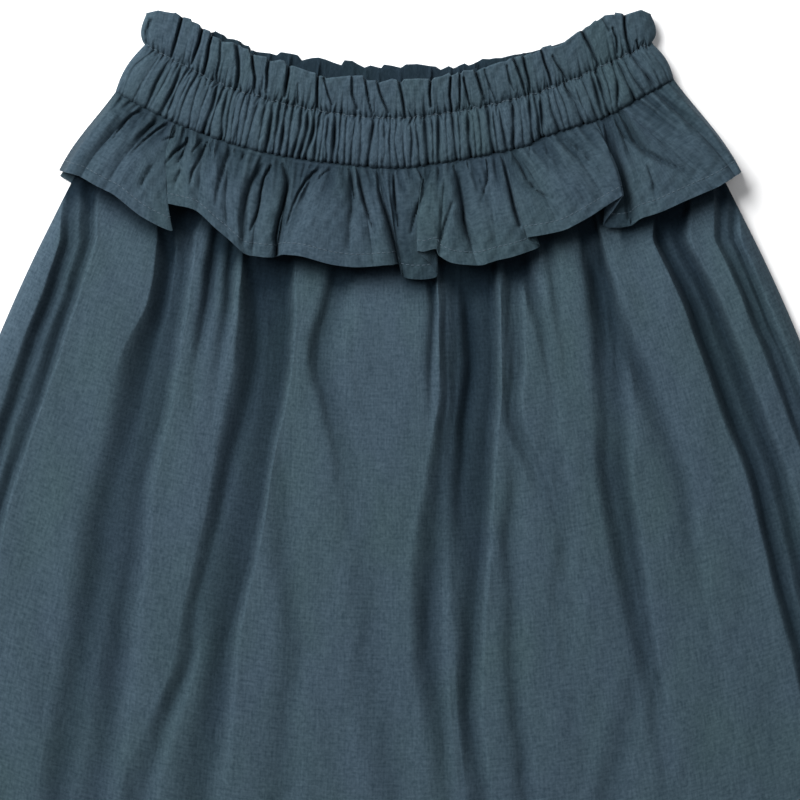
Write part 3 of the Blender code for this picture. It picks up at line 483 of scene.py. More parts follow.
FRONT_CREASES = table(
    Crease,
    ((-89, -92, -97, -99, -101, -103, -106, -110, -119, -129, -143),  # left thin
     (8, 4.6, 1.2, 0.2, 0, 0, 0, 0, 0, 0, 0), (2.4, 3.8)),
    ((-79, -82, -86, -89, -93, -99, -105, -111, -120, -130, -144),  # left thin twin
     (7.4, 4.4, 1.8, 0.3, 0, 0, 0, 0, 0, 0, 0), (3.4, 1.9)),
    ((-23, -33, -39, -32, -26, -25, -24, -23, -22, -22, -20),  # bent soft
     (4.4, 3.6, 3.4, 2.4, 1, 0.2, 0, 0, 0, 0, 0), (3.8, 7.7)),
    ((-56, -56, -57, -57, -56, -55, -52, -51, -55, -55, -57),  # low left soft
     (0, 0, 0, 0.3, 1.2, 1.8, 1.8, 2, 1.8, 1.8, 1.2), (5.8, 6.7)),
    ((-22, -22, -22, -21, -19, -18, -15, -13, -10, -4, 1),  # low centre soft
     (0, 0, 0, 0, 0.3, 0.8, 1.1, 1.2, 1.2, 1.2, 1), (7.7, 9.6)),
    ((14, 17, 16, 15, 12, 8, 5, 3, 6, 9, 15),  # panel groove
     (3.2, 3, 2.4, 0.5, 0, 0, 0, 0, 0, 0, 0), (1.9, 1.6)),
    ((29, 33, 35, 32, 30, 30, 30, 30, 32, 35, 42),  # centre core
     (11, 11, 9, 6.6, 3.4, 0.9, 0, 0, 0, 0, 0), (2.9, 3.4)),
    ((23, 23, 23, 23, 23, 23, 23, 25, 26, 29, 34),  # centre ridge
     (0, 0, 0, 0, 0, -0.2, -0.6, -0.9, -1, -1, -0.6), (3.4, 2.4)),
    ((52, 52, 52, 53, 55, 53, 55, 55, 57, 60, 65),  # low ridge side
     (0, 0, 0, 0, 1.6, 2.2, 2.2, 2.2, 2.4, 2.4, 1.6), (3.8, 4.3)),
    ((67, 68, 70, 72, 76, 79, 79, 82, 84, 86, 90),  # mid soft
     (0, 0, 0, 0.5, 1.3, 1.2, 0.8, 0.6, 0.4, 0.3, 0.2), (4.8, 5.8)),
    ((54, 65, 72, 77, 80, 83, 86, 88, 89, 90, 92),  # small slant
     (5.5, 4, 1.2, 0, 0, 0, 0, 0, 0, 0, 0), (2.4, 3.4)),
    ((71, 76, 80, 84, 87, 90, 92, 94, 95, 96, 98),  # small slant twin
     (1.8, 1.4, 0.3, 0, 0, 0, 0, 0, 0, 0, 0), (2.4, 3.4)),
    ((93, 94, 95, 96, 97, 100, 107, 115, 110, 103, 93),  # low right soft
     (0, 0, 0, 0, 0, 0, 0.2, 0.8, 1.4, 1.6, 1.3), (5.8, 5.8)),
    ((98, 103, 114, 126, 136, 141, 146, 150, 155, 160, 170),  # right slant
     (0, 3, 4, 2.2, 2.4, 1.6, 0.8, 0.4, 0.3, 0.3, 0.3), (5.8, 3.8)),
)
# Creases of the back panel, which rise from the surface that it lies on
BACK_CREASES = table(
    Crease,
    ((-146, -156, -166, -175, -184, -192, -199, -206, -212, -217, -227),
     (1, 1.3, 1.4, 1.2, 1, 0.8, 0.8, 0.6, 0.6, 0.6, 0.5), (5, 8)),
    ((-118, -126, -133, -141, -148, -155, -160, -165, -170, -174, -182),
     (1.4, 1.6, 1.5, 1.2, 1.2, 1, 0.8, 0.8, 0.7, 0.7, 0.6), (7, 4.5)),
    ((-92, -95, -101, -106, -112, -118, -124, -128, -133, -137, -144),
     (0.8, 1.2, 1.5, 1.6, 1.4, 1.1, 0.9, 0.6, 0.5, 0.3, 0.2), (3.5, 6.5)),
    ((-64, -69, -72, -78, -82, -84, -88, -91, -96, -99, -104),
     (1.6, 1.6, 1.3, 0.9, 0.7, 0.8, 1.1, 1.3, 1.2, 0.9, 0.7), (6.5, 3.5)),
    ((-38, -40, -46, -48, -49, -53, -55, -59, -62, -64, -70),
     (1.1, 1.4, 1.6, 1.6, 1.3, 1, 0.7, 0.5, 0.5, 0.6, 0.6), (4.5, 7)),
    ((-12, -14, -13, -15, -19, -20, -19, -22, -26, -28, -30),
     (1.5, 1.5, 1.1, 0.6, 0.4, 0.5, 0.9, 1.2, 1.3, 1.1, 0.8), (4, 5.5)),
    ((15, 13, 16, 18, 17, 15, 14, 15, 17, 20, 22),
     (0.9, 1.2, 1.5, 1.6, 1.5, 1.2, 0.9, 0.6, 0.4, 0.3, 0.3), (7, 4)),
    ((41, 46, 47, 49, 53, 57, 58, 58, 61, 65, 71),
     (1.5, 1.3, 0.9, 0.7, 0.9, 1.2, 1.4, 1.3, 1.1, 0.9, 0.8), (5, 7.5)),
    ((70, 74, 80, 84, 86, 89, 94, 99, 102, 104, 111),
     (1.2, 1.6, 1.6, 1.4, 1, 0.7, 0.5, 0.5, 0.7, 0.8, 0.7), (3.5, 6)),
    ((97, 104, 109, 113, 120, 126, 131, 134, 138, 143, 151),
     (1.5, 1.4, 1.1, 0.8, 0.8, 1, 1.2, 1.1, 0.9, 0.7, 0.6), (6.5, 4.5)),
    ((125, 133, 141, 150, 157, 163, 168, 174, 180, 184, 192),
     (1, 1.3, 1.5, 1.4, 1.2, 0.9, 0.7, 0.7, 0.6, 0.6, 0.5), (4.5, 8)),
    ((151, 161, 170, 180, 189, 196, 203, 210, 217, 222, 232),
     (0.7, 1, 1.2, 1.1, 1, 0.8, 0.7, 0.7, 0.6, 0.5, 0.5), (5.5, 5)),
)


def clamped(value: Grid) -> Grid:
    """Hold values between 0 and 1."""
    return np.clip(value, 0, 1)


def largest(*values: Grid) -> Grid:
    """Take the largest of several values at each point."""
    return reduce(np.maximum, values)


def bell(distance: Grid, power: float = 2) -> Grid:
    """Fall from 1 at no distance to nothing a few widths away."""
    return np.exp(-(distance**power))


def rounded(inside: Grid) -> Grid:
    """Rise in a quarter circle, from 0 at an edge to 1 where the roll of the edge ends."""
    inside = clamped(inside)
    return np.sqrt(inside * (2 - inside))


def cubic(t: Grid, start: Grid, end: Grid, leaving: Grid, coming: Grid) -> Grid:
    """Join two values by a curve.

    Args:
        t: Places between them, from 0 to 1.
        start: The first value.
        end: The second value.
        leaving: The slope at the first.
        coming: The slope at the second.

    Returns:
        The value at each place.
    """
    return (
        start * (1 + 2 * t) * (1 - t) ** 2
        + end * t * t * (3 - 2 * t)
        + leaving * t * (1 - t) ** 2
        - coming * t * t * (1 - t)
    )


def smooth(profile: Profile, at: Grid) -> Grid:
    """Read a smooth curve through a profile's values, level beyond both its ends.

    Args:
        profile: Places in rising order and the value at each.
        at: The places wanted, as an array of any shape.

    Returns:
        The value at each place wanted.
    """
    places = np.asarray(profile.places, float)
    values = np.asarray(profile.values, float)
    at = np.clip(at, places[0], places[-1])
    k = np.clip(np.searchsorted(places, at, side="right") - 1, 0, len(places) - 2)
    slopes = np.empty_like(values)
    slopes[1:-1] = (values[2:] - values[:-2]) / (places[2:] - places[:-2])
    slopes[0] = (values[1] - values[0]) / (places[1] - places[0])
    slopes[-1] = (values[-1] - values[-2]) / (places[-1] - places[-2])
    step = places[k + 1] - places[k]
    t = (at - places[k]) / step
    return cubic(t, values[k], values[k + 1], slopes[k] * step, slopes[k + 1] * step)


def row_heights(profile: Profile, at: Grid) -> Grid:
    """Read a profile once for each row of a sheet, as a column of metres."""
    return smooth(profile, at)[:, None] * MM


def sharp(places: Grid, values: Grid, at: Grid, steepness: float = 1.7) -> Grid:
    """Read a curve that is round over its ridges and sharp in its valleys.

    Args:
        places: The known places, rising.
        values: The value at each, one row of values for each row of the result.
        at: The places wanted.
        steepness: How much steeper than a straight line the curve meets a valley.

    Returns:
        One row of values for each row of the known values.
    """
    rise = np.diff(values, axis=1)
    step = np.diff(places)
    steady = (values[:, 2:] - values[:, :-2]) / (places[2:] - places[:-2])
    before, after = rise[:, :-1], rise[:, 1:]
    ridge = (before >= 0) & (after <= 0)
    valley = (before < 0) & (after > 0)
    leaving, coming = (
        np.where(ridge, 0.0, np.where(valley, steepness * side / width, steady))
        for side, width in ((after, step[1:]), (before, step[:-1]))
    )
    leaving = np.column_stack([rise[:, 0] / step[0], leaving])
    coming = np.column_stack([coming, rise[:, -1] / step[-1]])
    k = np.clip(np.searchsorted(places, at, side="right") - 1, 0, len(places) - 2)
    t = (at - places[k]) / step[k]
    slopes = leaving[:, k] * step[k], coming[:, k] * step[k]
    return cubic(t, values[:, k], values[:, k + 1], *slopes)


def pressed(
    furrows: Sequence[Furrow], x: Grid, y: Grid, origin_drop: float, breadth: float
) -> Grid:
    """Work out how deep narrow folds press points of the cloth down.

    Args:
        furrows: The folds.
        x: The points' x.
        y: Their y.
        origin_drop: The y of the stitched line at the centre.
        breadth: The share of its width that each fold gets.

    Returns:
        The depth at each point, in metres.
    """
    right, below = x / MM, (origin_drop - y) / MM
    level = np.ones_like(right)
    for furrow in furrows:
        deep = np.zeros_like(right)
        for (ax, ay, start), (bx, by, end) in zip(furrow.points, furrow.points[1:]):
            run_x, run_y = bx - ax, by - ay
            t = clamped(((right - ax) * run_x + (below - ay) * run_y) / (run_x**2 + run_y**2))
            off_x, off_y = right - ax - t * run_x, below - ay - t * run_y
            width = breadth * np.where(run_x * off_y - run_y * off_x > 0, *furrow.widths)
            share = bell(np.hypot(off_x, off_y) / width)
            deep = np.maximum(deep, (start + (end - start) * t) * share)
        level *= 1 - deep / DEEPEST_FURROW
    return (1 - level) * DEEPEST_FURROW * MM


def spaced(anchors: Grid, counts: Sequence[int], crowding: float = 0.6) -> Grid:
    """Spread columns between anchors, closer together beside each anchor.

    Args:
        anchors: The anchors' places, one row of rising places for each row of the sheet.
        counts: How many columns each gap between two anchors gets.
        crowding: How strongly they gather at the anchors, from 0 to 1.

    Returns:
        The place of every column in every row.
    """
    columns = []
    for gap, count in enumerate(counts):
        t = np.arange(count) / count
        t = t - crowding * np.sin(2 * np.pi * t) / (2 * np.pi)
        left, right = anchors[:, gap, None], anchors[:, gap + 1, None]
        columns.append(left + (right - left) * t)
    columns.append(anchors[:, -1:])
    return np.concatenate(columns, axis=1)


def run_along(points: Grid) -> Grid:
    """Measure how far along a line of points each of them is."""
    steps = np.linalg.norm(np.diff(points, axis=0), axis=-1)
    return np.concatenate([np.zeros((1, *steps.shape[1:])), np.cumsum(steps, axis=0)])


@dataclass(frozen=True)
class Puckers:
    """Small creases that stitches pull in along a line, at uneven places, lengths and slants."""

    seed: int
    pitch: Range
    reach: Range
    width: Range
    size: Range = (0.3, 0.9)
    slant: float = 0.25
    spread: float = 0.6

    def at(self, along: Grid, away: Grid, half: float) -> Grid:
        """Work out how deep in a crease points lie.

        Args:
            along: Places along the line, from its middle.
            away: How far from the line they are.
            half: Half the line's length.

        Returns:
            0 on smooth cloth to 1 in the deepest crease.
        """
        dice = np.random.default_rng(self.seed)
        deep = np.zeros(np.broadcast(along, away).shape)
        place = -half + dice.uniform(*self.pitch)
        while place < half:
            slant, reach = dice.uniform(-1, 1) * self.slant, dice.uniform(*self.reach)
            width, size = dice.uniform(*self.width), dice.uniform(*self.size)
            fading = clamped(1 - away / reach)
            off = (along - place - slant * away) / (width * (1 + self.spread * (1 - fading)))
            deep = np.maximum(deep, size * bell(off) * fading)
            place += dice.uniform(*self.pitch)
        return deep


@dataclass(frozen=True)
class Ripple:
    """A gentle unevenness of cloth: waves in seeded directions, added up."""

    seed: int
    height: float
    across_wave: float
    along_wave: float
    waves: int = 7
    across_turns: Range = (0.6, 1.6)
    along_turns: Range = (0.5, 1.6)

    def at(self, x: Grid, y: Grid) -> Grid:
        """Work out the unevenness at points of the cloth.

        Args:
            x: Places across the cloth.
            y: Places along it.

        Returns:
            The height to add at each point.
        """
        dice = np.random.default_rng(self.seed)
        total = np.zeros(np.broadcast(x, y).shape)
        for _ in range(self.waves):
            turn_x = dice.choice((-1, 1)) * dice.uniform(*self.across_turns) / self.across_wave
            turn_y = dice.uniform(*self.along_turns) / self.along_wave
            total += np.sin(2 * np.pi * (turn_x * x + turn_y * y) + dice.uniform(*PHASES))
        return self.height * total / math.sqrt(self.waves)


@dataclass(frozen=True)
class WaistCurve:
    """The circle that the stitched line of the waist lies in, through both side seams."""

    dip: float
    half_chord: float = 122.2 * MM
    front_dip: float = 34.6 * MM
    origin_drop: float = 166.0 * MM
    lean: float = 0.65
    end_lean: float = 0.9
    end_power: float = 6

    @property
    def radius(self) -> float:
        """The circle's radius."""
        return (self.half_chord**2 + self.dip**2) / (2 * self.dip)

    @property
    def half_angle(self) -> float:
        """The angle from the centre line to a side seam."""
        return math.asin(self.half_chord / self.radius)

    @property
    def lowest(self) -> float:
        """The y of the curve at the centre line."""
        return self.front_dip - self.dip + self.origin_drop

    def place(self, across: Grid, drop: Grid) -> tuple[Grid, Grid]:
        """Find points of the waistband.

        Args:
            across: Places across it.
            drop: How far below the curve they are; the heading stands above it.

        Returns:
            Their x and y.
        """
        angle = across * self.half_angle
        reach = self.radius + np.maximum(drop, 0)
        x = reach * np.sin(angle)
        y = self.lowest + self.radius - reach * np.cos(angle)
        lean = self.lean * angle * (1 - self.end_lean * across**self.end_power)
        above = np.minimum(drop, 0)
        return x + above * np.sin(lean), y - above * np.cos(lean)

    def across_of(self, x: Grid, y: Grid) -> Grid:
        """Find how far across the waist points are, seen from the circle's centre.

        Args:
            x: Their x.
            y: Their y.

        Returns:
            Their place across.
        """
        return np.arctan2(x, self.radius + self.lowest - y) / self.half_angle


def set_inputs(node: Node, values: dict[str, object]) -> None:
    """Set a node's inputs by their names."""
    for name, value in values.items():
        node.inputs[name].default_value = value


def feed(tree: Tree, socket: Socket, value: object) -> None:
    """Link a socket to another one, or set its value.

    Args:
        tree: The node tree that it is in.
        socket: The socket.
        value: Another socket, a number or a colour.
    """
    if isinstance(value, Socket):
        tree.links.new(value, socket)
    else:
        socket.default_value = value


def math_node(tree: Tree, operation: str, *values: object) -> Socket:
    """Add a math node.

    Args:
        tree: The node tree that it goes in.
        operation: Blender's name of the operation.
        values: Numbers, or sockets to link, in order.

    Returns:
        Its output.
    """
    node = tree.nodes.new("ShaderNodeMath")
    node.operation = operation
    for socket, value in zip(node.inputs, values):
        feed(tree, socket, value)
    return node.outputs[0]


def mixed(tree: Tree, share: object, first: object, second: object) -> Socket:
    """Add a colour mix.

    Args:
        tree: The node tree that it goes in.
        share: The share of the second colour, a number or a socket.
        first: The first colour, or a socket.
        second: The second colour, or a socket.

    Returns:
        The mixed colour.
    """
    node = tree.nodes.new("ShaderNodeMix")
    node.data_type = "RGBA"
    for k, value in zip(MIX_INPUTS, (share, first, second)):
        feed(tree, node.inputs[k], value)
    return node.outputs[MIX_OUTPUT]


def new_material(name: str) -> tuple[Material, Tree, Node]:
    """Start a material.

    Args:
        name: The material's name.

    Returns:
        The material, its node tree and its shader.
    """
    material = bpy.data.materials.new(name)
    material.use_nodes = True
    return material, material.node_tree, material.node_tree.nodes["Principled BSDF"]


@dataclass(frozen=True)
class PlainWeave:
    """A plain weave with slubs, flecks and soft changes of hue, darkened by painted shade, as a
    node group.

    A noise is given by how many blotches lie in a metre across the cloth and along it, and by a
    shift, so that no two of them are the same.
    """

    warp_slub: Noise = ((900.0, 110.0), 3.1)
    weft_slub: Noise = ((110.0, 900.0), 7.7)
    fleck: Noise = ((620.0, 620.0), 12.3)
    cloud: Noise = ((22.0, 14.0), 1.9)
    streak: Noise = ((240.0, 12.0), 5.3)
    noise_roughness: float = 0.55
    noise_mean: float = 0.5
    even_mix: float = 0.5
    slub_share: float = 0.7
    streak_share: float = 0.18
    cloud_contrast: float = 2.4
    cloud_start: float = -0.85
    thread_relief: float = 0.25
    fleck_polish: float = -0.12
    inputs: tuple[tuple[str, str], ...] = (
        ("Cloth Place", "Vector"), ("Warp Colour", "Color"), ("Weft Colour", "Color"),
        ("Tint", "Color"), ("Thread Pitch", "Float"), ("Fleck", "Float"), ("Roughness", "Float"),
        ("Painted Shade", "Float"), ("Painted Shade Tint", "Color"),
    )
    outputs: tuple[tuple[str, str], ...] = (
        ("Color", "Color"), ("Roughness", "Float"), ("Height", "Float"),
    )

    def noise(self, tree: Tree, place: Socket, noise: Noise) -> Socket:
        """Add flat noise that may be drawn out along the warp or the weft.

        Args:
            tree: The node tree that it goes in.
            place: The place on the cloth, in metres.
            noise: The noise wanted.

        Returns:
            Its value, between 0 and 1.
        """
        per_metre, shift = noise
        scale = tree.nodes.new("ShaderNodeVectorMath")
        scale.operation = "MULTIPLY_ADD"
        scale.inputs[1].default_value = (*per_metre, 0.0)
        scale.inputs[2].default_value = (shift, -shift, 0.0)
        tree.links.new(place, scale.inputs[0])
        node = tree.nodes.new("ShaderNodeTexNoise")
        node.noise_dimensions = "2D"
        settings = {"Scale": 1.0, "Detail": NOISE_DETAIL, "Roughness": self.noise_roughness}
        set_inputs(node, settings)
        tree.links.new(scale.outputs[0], node.inputs["Vector"])
        return node.outputs[0]

    def group(self) -> Tree:
        """Build the node group.

        Returns:
            The group, with outputs Color, Roughness and Height.
        """
        group = bpy.data.node_groups.new("plain_weave", "ShaderNodeTree")
        for way, sockets in (("INPUT", self.inputs), ("OUTPUT", self.outputs)):
            for name, kind in sockets:
                kind = f"NodeSocket{kind}"
                group.interface.new_socket(name=name, in_out=way, socket_type=kind)
        given = group.nodes.new("NodeGroupInput").outputs
        out = group.nodes.new("NodeGroupOutput").inputs
        place = given["Cloth Place"]
        warp_slub, weft_slub, fleck, cloud, streak = (
            self.noise(group, place, noise)
            for noise in (self.warp_slub, self.weft_slub, self.fleck, self.cloud, self.streak)
        )

        threads = math_node(group, "ADD", warp_slub, weft_slub)
        threads = math_node(group, "MULTIPLY_ADD", threads, self.slub_share, -self.slub_share)
        flecks = math_node(group, "SUBTRACT", fleck, self.noise_mean)
        streaks = math_node(group, "SUBTRACT", streak, self.noise_mean)
        streaks = math_node(group, "MULTIPLY", streaks, self.streak_share)
        mottle = math_node(group, "ADD", math_node(group, "ADD", threads, flecks), streaks)
        share = math_node(group, "MULTIPLY_ADD", mottle, given["Fleck"], self.even_mix)
        share.node.use_clamp = True
        cloth = mixed(group, share, given["Warp Colour"], given["Weft Colour"])
        tinted = math_node(group, "MULTIPLY_ADD", cloud, self.cloud_contrast, self.cloud_start)
        tinted.node.use_clamp = True
        # The first mix tints the hue at random; the second paints shade, multiplying by the shade
        # tint as far as the painted-shade mask says
        for factor, colour in ((tinted, given["Tint"]), (given["Painted Shade"], given["Painted Shade Tint"])):
            cloth = mixed(group, factor, cloth, colour)
            cloth.node.blend_type = "MULTIPLY"
        group.links.new(cloth, out["Color"])
        for mix in (n for n in group.nodes if n.type == "MIX"):
            mix.clamp_factor = True

        parts = group.nodes.new("ShaderNodeSeparateXYZ")
        group.links.new(place, parts.inputs[0])
        waves = []
        for axis in (0, 1):
            turns = math_node(group, "DIVIDE", parts.outputs[axis], given["Thread Pitch"])
            turns = math_node(group, "MULTIPLY", turns, 2 * math.pi)
            waves.append(math_node(group, "SINE", turns))
        weave = math_node(group, "MULTIPLY", *waves)
        height = math_node(group, "MULTIPLY_ADD", weave, self.thread_relief, mottle)
        group.links.new(math_node(group, "MULTIPLY_ADD", height, 0.5, 0.5), out["Height"])
        rough = math_node(group, "MULTIPLY_ADD", flecks, self.fleck_polish, given["Roughness"])
        group.links.new(rough, out["Roughness"])
        return group


@dataclass(frozen=True)
class WovenCotton:
    """Blue-grey cotton woven from a dark warp and a paler weft, with painted shade in its folds.
    """

    weave: Tree
    warp: Colour = (0.0219, 0.0373, 0.0512, 1.0)
    weft: Colour = (0.0450, 0.0689, 0.0904, 1.0)
    tint: Colour = (0.97, 1.03, 0.92, 1.0)
    thread_pitch: float = 0.7 * MM
    # The colour that painted shade darkens the cloth towards
    painted_shade_tint: Colour = (0.15, 0.20, 0.24, 1.0)
    fleck: float = 1.25
    roughness: float = 0.86
    sheen: float = 0.06
    sheen_roughness: float = 0.4
    gloss: float = 0.14
    gloss_tint: Colour = (0.55, 0.78, 1.0, 1.0)
    relief: float = 0.12 * MM
    relief_strength: float = 0.8

    def material(self, name: str) -> Material:
        """Make the cloth's material.

        Args:
            name: The material's name.

        Returns:
            The material, which reads the cloth's own UV map in metres and its painted-shade
            attribute.
        """
        material, tree, shader = new_material(name)
        set_inputs(shader, {
            "Sheen Weight": self.sheen,
            "Sheen Roughness": self.sheen_roughness,
            "Sheen Tint": self.gloss_tint,
            "Specular IOR Level": self.gloss,
            "Specular Tint": self.gloss_tint,
        })
        uv = tree.nodes.new("ShaderNodeUVMap")
        weave = tree.nodes.new("ShaderNodeGroup")
        weave.node_tree = self.weave
        set_inputs(weave, {
            "Warp Colour": self.warp,
            "Weft Colour": self.weft,
            "Tint": self.tint,
            "Thread Pitch": self.thread_pitch,
            "Fleck": self.fleck,
            "Roughness": self.roughness,
            "Painted Shade Tint": self.painted_shade_tint,
        })
        bump = tree.nodes.new("ShaderNodeBump")
        set_inputs(bump, {"Strength": self.relief_strength, "Distance": self.relief})
        painted_shade = tree.nodes.new("ShaderNodeAttribute")
        painted_shade.attribute_name = PAINTED_SHADE
        for output, target in (
            (uv.outputs["UV"], weave.inputs["Cloth Place"]),
            (painted_shade.outputs["Fac"], weave.inputs["Painted Shade"]),
            (weave.outputs["Color"], shader.inputs["Base Color"]),
            (weave.outputs["Roughness"], shader.inputs["Roughness"]),
            (weave.outputs["Height"], bump.inputs["Height"]),
            (bump.outputs["Normal"], shader.inputs["Normal"]),
        ):
            tree.links.new(output, target)
        return material


@dataclass(frozen=True)
class SewingThread:
    """Twisted cotton thread a little paler than the cloth."""

    dark: Colour = (0.030, 0.048, 0.064, 1.0)
    pale: Colour = (0.066, 0.096, 0.122, 1.0)
    roughness: float = 0.7
    gloss: float = 0.3
    twist: float = 2600.0
    relief: float = 0.05 * MM

    def material(self, name: str) -> Material:
        """Make the thread's material.

        Args:
            name: The material's name.

        Returns:
            The material.
        """
        material, tree, shader = new_material(name)
        set_inputs(shader, {"Roughness": self.roughness, "Specular IOR Level": self.gloss})
        place = tree.nodes.new("ShaderNodeTexCoord")
        fibre = tree.nodes.new("ShaderNodeTexNoise")
        set_inputs(fibre, {"Scale": self.twist, "Detail": NOISE_DETAIL})
        tree.links.new(place.outputs["Object"], fibre.inputs["Vector"])
        colour = mixed(tree, fibre.outputs["Fac"], self.dark, self.pale)
        bump = tree.nodes.new("ShaderNodeBump")
        set_inputs(bump, {"Distance": self.relief})
        tree.links.new(fibre.outputs["Fac"], bump.inputs["Height"])
        tree.links.new(colour, shader.inputs["Base Color"])
        tree.links.new(bump.outputs["Normal"], shader.inputs["Normal"])
        return material


def deselect() -> None:
    """Leave nothing selected, so that an operator acts on the new piece alone."""
    if bpy.context.object and bpy.context.object.mode != "OBJECT":
        bpy.ops.object.mode_set(mode="OBJECT")
    bpy.ops.object.select_all(action="DESELECT")


def grid_normals(points: Grid) -> Grid:
    """Work out which way a sheet faces at each of its points.

    Args:
        points: Rows of points from the waist down, each from left to right.

    Returns:
        Unit vectors that point out of the front of the garment.
    """
    down, right = np.gradient(points, axis=0), np.gradient(points, axis=1)
    normals = np.cross(down, right)
    return normals / np.maximum(np.linalg.norm(normals, axis=2, keepdims=True), LEAST_AREA)


@dataclass
class Sheet:
    """A layer of cloth worked out as rows of points, and its place on the flat cloth."""

    name: str
    node: str
    facing: Facing
    points: Grid
    cloth: Grid
    painted_shade: Grid
    flat: tuple[float, float]
    held: Held
    thickness: float = 0.5 * MM
    ring: bool = False
    merged: float = 0.002 * MM
    smooth_angle: float = 75

    def build(self, material: Material) -> None:
        """Args:
            material: The cloth's material.
        """
        rows, columns = self.points.shape[:2]
        deselect()
        bpy.ops.mesh.primitive_grid_add(
            x_subdivisions=columns - 1, y_subdivisions=rows - 1, size=2, location=(0, 0, 0)
        )
        piece = bpy.context.object
        piece.name = piece.data.name = self.name
        mesh = piece.data
        start = np.empty(len(mesh.vertices) * 3)
        mesh.vertices.foreach_get("co", start)
        start = start.reshape(-1, 3)
        column = np.rint((start[:, 0] + 1) / 2 * (columns - 1)).astype(int)
        row = np.rint((1 - start[:, 1]) / 2 * (rows - 1)).astype(int)
        if self.facing is Facing.BACK:
            column = columns - 1 - column
        mesh.vertices.foreach_set("co", self.points[row, column].ravel())
        corners = np.empty(len(mesh.loops), dtype=np.int32)
        mesh.loops.foreach_get("vertex_index", corners)
        mesh.uv_layers[0].data.foreach_set("uv", self.cloth[row, column][corners].ravel())
        # Store the painted-shade mask for the material
        depth = mesh.attributes.new(PAINTED_SHADE, "FLOAT", "POINT")
        depth.data.foreach_set("value", self.painted_shade[row, column].ravel())
        mesh.update()
        if self.ring:
            bpy.ops.object.mode_set(mode="EDIT")
            bpy.ops.mesh.select_all(action="SELECT")
            bpy.ops.mesh.remove_doubles(threshold=self.merged)
            bpy.ops.object.mode_set(mode="OBJECT")
        else:
            wall = piece.modifiers.new("wall", "SOLIDIFY")
            wall.thickness = self.thickness
            wall.offset = -1.0
            bpy.ops.object.modifier_apply(modifier=wall.name)
        bpy.ops.object.shade_smooth_by_angle(angle=math.radians(self.smooth_angle))
        mesh.materials.clear()
        mesh.materials.append(material)
        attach(piece, "root")
        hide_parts(self.node)
        LOG.info("%s: %d x %d points, %d faces", self.name, rows, columns, len(mesh.polygons))


@dataclass
class StitchLine:
    """A straight row of machine stitches along one row of a sheet."""

    name: str
    sheet: Sheet
    row: int
    length: float = 2.1 * MM
    gap: float = 0.5 * MM
    thread: float = 0.42 * MM
    margin: float = 3 * MM
    lift: float = 0.1 * MM
    facets: tuple[int, int] = (8, 6)

    def stitch(self) -> bpy.types.Object:
        """Model one stitch, lying along X with its outside towards Z.

        Returns:
            The stitch.
        """
        deselect()
        segments, rings = self.facets
        # A ball one metre across, which the next step squeezes to the stitch's size
        bpy.ops.mesh.primitive_uv_sphere_add(segments=segments, ring_count=rings, radius=0.5)
        bpy.ops.object.mode_set(mode="EDIT")
        bpy.ops.transform.resize(value=(self.length, self.thread, self.thread))
        bpy.ops.object.mode_set(mode="OBJECT")
        bpy.ops.object.shade_smooth()
        return bpy.context.object

    def places(self) -> list[Matrix]:
        """Find where each stitch lies along the row, and how it is turned.

        Returns:
            The place and turn of each stitch.
        """
        line = self.sheet.points[self.row]
        outward = 1.0 if self.sheet.facing is Facing.FRONT else -1.0
        normals = grid_normals(self.sheet.points)[self.row] * outward
        run = run_along(line)
        centres = np.arange(self.margin, run[-1] - self.margin, self.length + self.gap)

        def at(place: Grid, values: Grid) -> Grid:
            """Read the row's values at places along it."""
            return np.stack([np.interp(place, run, values[:, k]) for k in range(3)], axis=1)

        middle, up = at(centres, line), at(centres, normals)
        ahead = at(centres + self.length / 2, line) - at(centres - self.length / 2, line)
        found = []
        for point, normal, along in zip(middle, up, ahead):
            along = Vector(along).normalized()
            side = Vector(normal).cross(along).normalized()
            turn = Matrix((along, side, along.cross(side))).transposed().to_4x4()
            found.append(Matrix.Translation(Vector(point + normal * self.lift)) @ turn)
        return found

    def build(self, material: Material) -> None:
        """Copy the stitch along the row and join the copies.

        Args:
            material: The thread's material.
        """
        first = self.stitch()
        first.name = first.data.name = self.name
        places = self.places()
        copies = [first]
        for _ in places[1:]:
            copy = bpy.data.objects.new(self.name, first.data.copy())
            bpy.context.collection.objects.link(copy)
            copies.append(copy)
        for copy, place in zip(copies, places):
            copy.data.transform(place)
            copy.select_set(True)
        bpy.context.view_layer.objects.active = first
        bpy.ops.object.join()
        first.data.materials.clear()
        first.data.materials.append(material)
        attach(first, "root")
        LOG.info("%s: %d stitches", self.name, len(places))


@dataclass
class Layer:
    """One layer of the garment, in front or at the back."""

    kind: ClassVar[str]
    facing: Facing
    curve: WaistCurve

    @property
    def name(self) -> str:
        """The name of the node that this piece stands for."""
        return f"{self.kind}_{self.facing.value}"

    @property
    def front(self) -> bool:
        """Whether it lies in front."""
        return self.facing is Facing.FRONT

    def puckered(self, puckers: Puckers, across: Grid, away: Grid) -> Grid:
        """Work out how deep in small creases points lie, so far away from a sewn line."""
        half = self.curve.half_chord
        return puckers.at(across * half, away, half)


